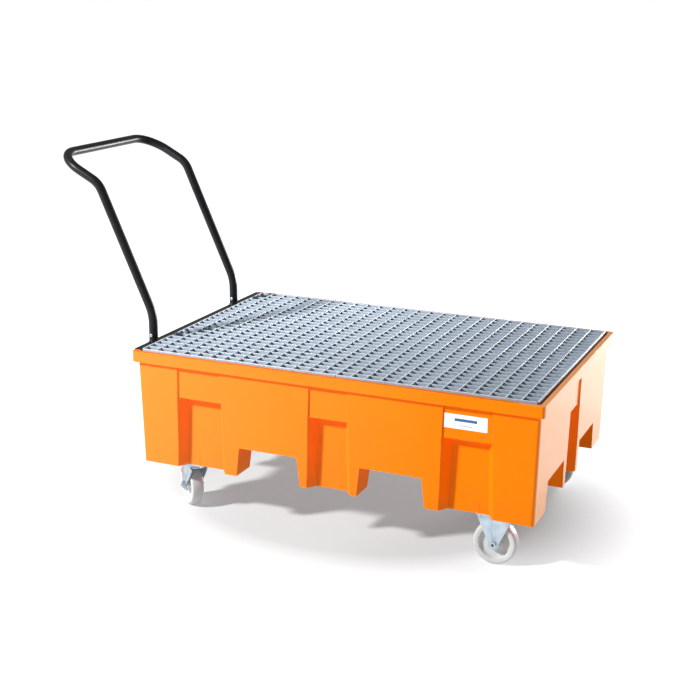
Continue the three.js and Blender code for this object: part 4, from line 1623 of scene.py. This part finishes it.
@dataclass
class Casters:
    """All four casters: plates, races, forks, wheels, axles and fasteners."""

    places: list[CasterPlace]
    plate_half_length: float = 52.5
    plate_half_width: float = 42.5
    plate_thickness: float = 4.0
    plate_corner: float = 9.0
    bolt_pitch: Point2 = (80.0, 67.0)
    race_bore: float = 26.0
    upper_race: float = 37.0
    lower_race: float = 35.6
    kingpin_nut: float = 9.5
    bush_bore: float = 6.3
    bush_radius: float = 10.0
    axle_head: float = 9.6
    axle_radius: float = 6.0
    wheel_radius: float = 62.5
    wheel_half_width: float = 19.0
    hub_half_width: float = 21.0
    bore: float = 10.3
    socket_radius: float = 4.4
    columns: int = 27
    fixed: ForkShape = FIXED_FORK
    swivel: ForkShape = SWIVEL_FORK

    def build(self) -> None:
        """Make every caster's pieces."""
        self.plate_bolts()
        for place in self.places:
            shape = self.swivel if place.swivels else self.fixed
            self.plate(place)
            self.fork(place, shape)
            if place.swivels:
                self.race(place)
            self.wheel(place)
            self.axle(place, shape)

    def plate_bolts(self) -> None:
        """Make the sixteen plate bolts as one piece, with a washer under each head."""
        draft = Draft()
        nodes = []
        for place in self.places:
            rig = Rig("plate_bolt_set_" + place.name)
            mesh = self.bolt_set(rig, place)
            draft.mesh.from_mesh(mesh)
            bpy.data.meshes.remove(mesh)
            nodes += [f"plate_bolt_{place.name}_{i}" for i in range(1, 5)]
        draft.bevel(0.4, 2, steep(50.0))
        piece = draft.finish("plate_bolts")
        piece.data.materials.append(ZINC.material())
        dress(piece, ZINC, Slot.ZINC, Body.CHASSIS.value, *nodes)

    def bolt_set(self, rig: Rig, place: CasterPlace) -> bpy.types.Mesh:
        """Four bolt heads on a caster's bolt pattern.

        Args:
            rig: an empty tree.
            place: the caster.

        Returns:
            Their mesh.
        """
        graph = rig.graph
        pitch_x = rig.number("Pitch X")
        pitch_y = rig.number("Pitch Y")
        radius = rig.number("Head Radius")
        height = rig.number("Head Height")
        pattern = graph.add("GeometryNodeMeshGrid")
        pattern.inputs["Vertices X"].default_value = 2
        pattern.inputs["Vertices Y"].default_value = 2
        graph.put(pattern.inputs["Size X"], pitch_x)
        graph.put(pattern.inputs["Size Y"], pitch_y)
        heads = []
        for sides, scale, share, drop in ((6, 1.0, 0.8, 0.6), (28, 1.12, 0.2, 0.1)):
            body = graph.add("GeometryNodeMeshCylinder")
            body.inputs["Vertices"].default_value = sides
            graph.put(body.inputs["Radius"], graph.math("MULTIPLY", radius, scale))
            graph.put(body.inputs["Depth"], graph.math("MULTIPLY", height, share))
            moved = graph.add("GeometryNodeTransform")
            graph.put(moved.inputs["Geometry"], body.outputs[0])
            below = graph.math("MULTIPLY", height, -drop)
            graph.put(moved.inputs["Translation"], rig.triple(0.0, 0.0, below))
            heads.append(moved.outputs[0])
        joined = graph.add("GeometryNodeJoinGeometry")
        for head in heads:
            rig.tree.links.new(head, joined.inputs[0])
        copies = graph.add("GeometryNodeInstanceOnPoints")
        graph.put(copies.inputs["Points"], pattern.outputs[0])
        graph.put(copies.inputs["Instance"], joined.outputs[0])
        rig.parts = [copies.outputs[0]]
        values = {
            "Pitch X": self.bolt_pitch[0] * MM,
            "Pitch Y": self.bolt_pitch[1] * MM,
            "Head Radius": 7.2 * MM,
            "Head Height": 5.6 * MM,
        }
        mesh = rig.build("plate_bolts_" + place.name, ZINC, values)
        under = Vector((0, 0, -(self.plate_thickness + GAP / 2))) * MM
        mesh.transform(place.plate_frame @ Matrix.Translation(under))
        return mesh

    def plate(self, place: CasterPlace) -> None:
        """Make one top plate with round corners.

        Args:
            place: the caster.
        """
        draft = Draft()
        outline = rounded_rectangle(self.plate_half_length, self.plate_half_width, self.plate_corner, 8)
        draft.prism(outline, -self.plate_thickness, -GAP, place.plate_frame)
        if place.swivels:
            dish = [(0, -self.plate_thickness - 0.2), (30, -self.plate_thickness - 0.2)]
            dish += [(25, -self.plate_thickness - 4.0), (0, -self.plate_thickness - 4.0)]
            draft.lathe(dish, place.plate_frame, 48)
        draft.bevel(0.8, 2, steep(60.0))
        piece = draft.finish("plate_" + place.name)
        weigh_normals(piece)
        nodes = ["top_plate_" + place.name] if place.swivels else []
        dress(piece, ZINC, Slot.ZINC, Body.CHASSIS.value, *nodes)

    def race(self, place: CasterPlace) -> None:
        """Make one ball race and its kingpin nut.

        Args:
            place: the caster.
        """
        top = -self.plate_thickness - GAP
        under = -self.swivel.bridge + GAP
        mid = (top + under) / 2
        draft = Draft()
        bore, wide, narrow = self.race_bore, self.upper_race, self.lower_race
        upper = [(bore, top), (wide - 1.5, top), (wide, top - 1.2), (wide, mid + 0.5)]
        upper += [(wide - 2.0, mid + 0.2), (bore, mid + 0.2)]
        lower = [(bore, under), (narrow - 1.6, under), (narrow, under + 1.0), (narrow, mid - 0.9)]
        lower += [(narrow - 1.6, mid - 0.3), (bore, mid - 0.3)]
        draft.lathe(upper, place.plate_frame, 64)
        draft.lathe(lower, place.plate_frame, 64)
        piece = draft.finish("ball_race_" + place.name + "_rings")
        dress(piece, ZINC, Slot.ZINC, Body.CHASSIS.value, "ball_race_" + place.name)
        nut = Draft()
        below = -self.swivel.bridge - self.swivel.sheet - GAP
        nut.prism(arc((0, 0), self.kingpin_nut, 0.0, 300.0, 5), below - 6.0, below, place.plate_frame)
        end = [(0, below - 7.5), (5.5, below - 7.5), (6, below - 7.0), (6, below - 5.0), (0, below - 5.0)]
        nut.lathe(end, place.plate_frame, 24)
        nut.bevel(0.5, 2, steep(50.0))
        piece = nut.finish("kingpin_nut_" + place.name)
        dress(piece, ZINC, Slot.ZINC, Body.CHASSIS.value, "kingpin_" + place.name)

    def fork(self, place: CasterPlace, shape: ForkShape) -> None:
        """Make one bent sheet fork with a pressed rib down each leg.

        Args:
            place: the caster.
            shape: the fork's outline.
        """
        draft = Draft()
        outer: list[list[bmesh.types.BMVert]] = []
        inner: list[list[bmesh.types.BMVert]] = []
        for y, z, angle in shape.section():
            normal = Vector((0.0, math.cos(math.radians(angle)), math.sin(math.radians(angle))))
            back, front = shape.extent(z)
            if shape.crown and angle not in (0.0, 180.0):
                edge = math.sqrt(max(shape.crown**2 - y * y, 0.0))
                back, front = -edge, edge
            rows = ([], [])
            for column in range(self.columns):
                x = back + (front - back) * column / (self.columns - 1)
                rib = self.rib(shape, x - (back + front) / 2, z, angle)
                for row, offset in zip(rows, (shape.sheet / 2, -shape.sheet / 2)):
                    row.append(Vector((x, y, z)) + normal * (offset + rib))
            outer.append(draft.ring(place.fork_frame @ (spot * MM) for spot in rows[0]))
            inner.append(draft.ring(place.fork_frame @ (spot * MM) for spot in rows[1]))
        for rows in (outer, inner):
            for first, second in zip(rows, rows[1:]):
                draft.bridge(first, second, closed=False)
        for first, second in zip(zip(outer, inner), zip(outer[1:], inner[1:])):
            for column in (0, -1):
                corners = (first[0][column], second[0][column], second[1][column], first[1][column])
                draft.mesh.faces.new(corners)
        for row in (0, -1):
            draft.bridge(outer[row], inner[row], closed=False)
        draft.bevel(0.5, 2, steep(60.0))
        piece = draft.finish("fork_" + place.name, 35.0)
        node = ("swivel_fork_" if place.swivels else "fixed_fork_") + place.name
        dress(piece, ZINC, Slot.ZINC, place.fork_body, node)

    @staticmethod
    def rib(shape: ForkShape, across: float, height: float, angle: float) -> float:
        """How far the pressed rib stands out of a leg.

        Args:
            shape: the fork's outline.
            across: the distance from the leg's middle line.
            height: the height.
            angle: the sheet's normal angle, which is upright only on the legs.

        Returns:
            The rib's height there.
        """
        if angle not in (0.0, 180.0):
            return 0.0
        side = min(1.0, max(0.0, (shape.rib_half_width + 3.0 - abs(across)) / 4.0))
        low = min(1.0, max(0.0, (height + shape.drop - shape.foot_radius * 0.9) / 8.0))
        high = min(1.0, max(0.0, (-shape.bridge - shape.shoulder - height) / 5.0))
        smooth = [share * share * (3 - 2 * share) for share in (side, low, high)]
        return shape.rib_height * smooth[0] * smooth[1] * smooth[2]

    def wheel(self, place: CasterPlace) -> None:
        """Make one wheel: hub, thin web and a thick crowned tread.

        Args:
            place: the caster.
        """
        half = self.wheel_half_width
        hub = self.hub_half_width
        radius = self.wheel_radius
        face = [
            (self.bore, hub - 1.0),
            (self.bore + 1.0, hub),
            (self.bore + 8.0, hub),
            (self.bore + 9.2, hub - 1.2),
            (self.bore + 10.5, 9.5),
            (self.bore + 12.0, 8.0),
            (39.0, 7.4),
            (42.0, 8.8),
            (44.0, half - 4.0),
            (45.4, half - 1.6),
            (47.6, half - 0.6),
            (radius - 9.0, half),
        ]
        edge = arc((radius - 7.0, half - 6.0), 6.0, 80.0, 15.0, 6)
        crown = [(radius - 0.5, half * 0.45), (radius, 0.0)]
        upper = face + edge + crown
        lower = [(r, -z) for r, z in reversed(upper[:-1])]
        draft = Draft()
        draft.lathe(upper + lower, place.axle_frame, 96)
        piece = draft.finish("caster_wheel_" + place.name, 35.0)
        dress(piece, NYLON, Slot.NYLON, place.wheel_body, "wheel_" + place.name)

    def axle(self, place: CasterPlace, shape: ForkShape) -> None:
        """Make one axle: the bush, the bolt with its washer, and the nut.

        Args:
            place: the caster.
            shape: the fork's outline.
        """
        inside = shape.half_gap - GAP
        bush = Draft()
        bore, outer = self.bush_bore, self.bush_radius
        ring = [(bore, -inside), (outer, -inside), (outer, inside), (bore, inside)]
        bush.lathe(ring, place.axle_frame, 48)
        piece = bush.finish("bush_" + place.name)
        dress(piece, ZINC, Slot.ZINC, place.fork_body, "axle_bush_" + place.name)
        outside = shape.half_gap + shape.sheet + GAP
        bolt = Draft()
        hexagon = arc((0, 0), self.axle_head, 0.0, 300.0, 5)
        bolt.prism(hexagon, outside + 1.4, outside + 6.8, place.axle_frame)
        axle = self.axle_radius
        shank = [(0, outside - 4.0), (axle, outside - 4.0), (axle, outside + 1.0), (0, outside + 1.0)]
        bolt.lathe(shank, place.axle_frame, 24)
        end = -outside - 11.0
        inner_end = -outside + 4.0
        thread = [(0, end), (axle - 0.8, end), (axle, end + 0.8), (axle, inner_end), (0, inner_end)]
        bolt.lathe(thread, place.axle_frame, 24)
        bolt.bevel(0.5, 2, steep(50.0))
        plain = len(bolt.mesh.faces)
        # painted shade: a thin dark disc on the head, not a recess, stands for the socket's shade
        socket = [(0, outside + 6.5), (self.socket_radius, outside + 6.5)]
        socket += [(self.socket_radius, outside + 7.0), (0, outside + 7.0)]
        bolt.lathe(socket, place.axle_frame, 24)
        bolt.mesh.faces.ensure_lookup_table()
        for face in bolt.mesh.faces[plain:]:
            face.material_index = 1
        piece = bolt.finish("axle_bolt_head_" + place.name)
        for finish in (ZINC, SOCKET_SHADE):
            piece.data.materials.append(finish.material())
        dress(piece, ZINC, Slot.ZINC, place.fork_body, "axle_bolt_" + place.name)
        nut = Draft()
        nut.prism(arc((0, 0), 9.6, 30.0, 330.0, 5), -outside - 8.0, -outside - 1.4, place.axle_frame)
        for side in (1, -1):
            washer = [(6.5, side * outside), (11.5, side * outside)]
            washer += [(11.5, side * (outside + 1.4)), (6.5, side * (outside + 1.4))]
            nut.lathe(washer, place.axle_frame, 32)
        nut.bevel(0.4, 2, steep(50.0))
        piece = nut.finish("axle_nut_and_washers_" + place.name)
        dress(piece, ZINC, Slot.ZINC, place.fork_body, "axle_nut_" + place.name)


# ---------------------------------------------------------------------------------------------
# Studio
# ---------------------------------------------------------------------------------------------


@dataclass(frozen=True)
class AreaLamp:
    """One soft rectangular light."""

    name: str
    place: tuple[float, float, float]
    target: tuple[float, float, float]
    size: Point2
    power: float
    colour: tuple[float, float, float] = (1.0, 1.0, 1.0)

    def build(self) -> None:
        """Make the light."""
        data = bpy.data.lights.new(self.name, "AREA")
        data.shape = "RECTANGLE"
        data.size, data.size_y = self.size
        data.energy = self.power
        data.color = self.colour
        lamp = bpy.data.objects.new(self.name, data)
        lamp.location = self.place
        lamp.rotation_mode = "QUATERNION"
        lamp.rotation_quaternion = (Vector(self.target) - Vector(self.place)).to_track_quat("-Z", "Y")
        bpy.context.scene.collection.objects.link(lamp)


@dataclass
class Studio:
    """Floor, lights and camera."""

    yaw: float = -23.0
    pitch: float = -16.05
    roll: float = 0.58
    lens: float = 68.25
    eye: tuple[float, float, float] = (1.5907, -3.5731, 1.5752)
    floor_half: float = 45.0
    diffuse_sky: float = 0.10
    mirror_sky: float = 0.32
    lamps: tuple[AreaLamp, ...] = (
        AreaLamp("key_front_left", (-3.1, -3.44, 3.34), (0.17, 0.0, 0.3), (0.48, 0.48), 400.0),
        AreaLamp("rim_right_rear", (1.65, 3.9, 0.62), (0.79, 0.0, 0.33), (1.8, 1.1), 260.0),
    )

    def build(self) -> None:
        """Make the studio."""
        self.camera()
        for lamp in self.lamps:
            lamp.build()
        self.surroundings()
        self.floor()

    def camera(self) -> None:
        """Make the camera."""
        yaw, pitch, roll = (math.radians(angle) for angle in (self.yaw, self.pitch, self.roll))
        ahead = Vector((math.sin(yaw) * math.cos(pitch), math.cos(yaw) * math.cos(pitch), math.sin(pitch)))
        level = ahead.cross(Vector((0, 0, 1))).normalized()
        above = level.cross(ahead)
        right = level * math.cos(roll) + above * math.sin(roll)
        up = above * math.cos(roll) - level * math.sin(roll)
        data = bpy.data.cameras.new("camera")
        data.lens = self.lens
        data.sensor_width = 36.0
        data.clip_end = 120.0
        camera = bpy.data.objects.new("camera", data)
        turn = Matrix((right, up, -ahead)).transposed().to_4x4()
        camera.matrix_world = Matrix.Translation(self.eye) @ turn
        bpy.context.scene.collection.objects.link(camera)
        bpy.context.scene.camera = camera

    def surroundings(self) -> None:
        """Light the scene softly from all round."""
        world = bpy.data.worlds.new("studio_world")
        world.use_nodes = True
        graph = Graph(world.node_tree)
        path = graph.add("ShaderNodeLightPath")
        mirrored = graph.math("MULTIPLY", path.outputs["Is Glossy Ray"], self.mirror_sky - self.diffuse_sky)
        seen = graph.math("MULTIPLY", path.outputs["Is Camera Ray"], 1.0 - self.diffuse_sky)
        strength = graph.math("ADD", graph.math("ADD", mirrored, seen), self.diffuse_sky)
        background = world.node_tree.nodes["Background"]
        background.inputs[0].default_value = tint(1.0, 1.0, 1.0)
        graph.put(background.inputs[1], strength)
        bpy.context.scene.world = world
        bpy.context.scene.view_settings.view_transform = "Standard"

    def floor(self) -> None:
        """Lay the pale floor."""
        half = self.floor_half
        draft = Draft()
        spots = ((-half, -half), (half, -half), (half, half), (-half, half))
        corners = draft.ring(Vector((x, y, 0.0)) for x, y in spots)
        draft.mesh.faces.new(corners)
        floor = draft.finish("studio_floor")
        floor.data.materials.append(StudioFloor().material())


# ---------------------------------------------------------------------------------------------
# Main
# ---------------------------------------------------------------------------------------------


def main() -> None:
    """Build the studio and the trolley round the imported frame."""
    logging.basicConfig(level=logging.INFO, format="%(name)s: %(message)s")
    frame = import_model()
    Studio().build()
    SumpTray().build(frame)
    BlankLabel().build()
    PressedGrating().build()
    PushHandle().build()
    Casters(caster_places(frame)).build()
    LOG.info("the trolley is complete")


if __name__ == "__main__":
    main()
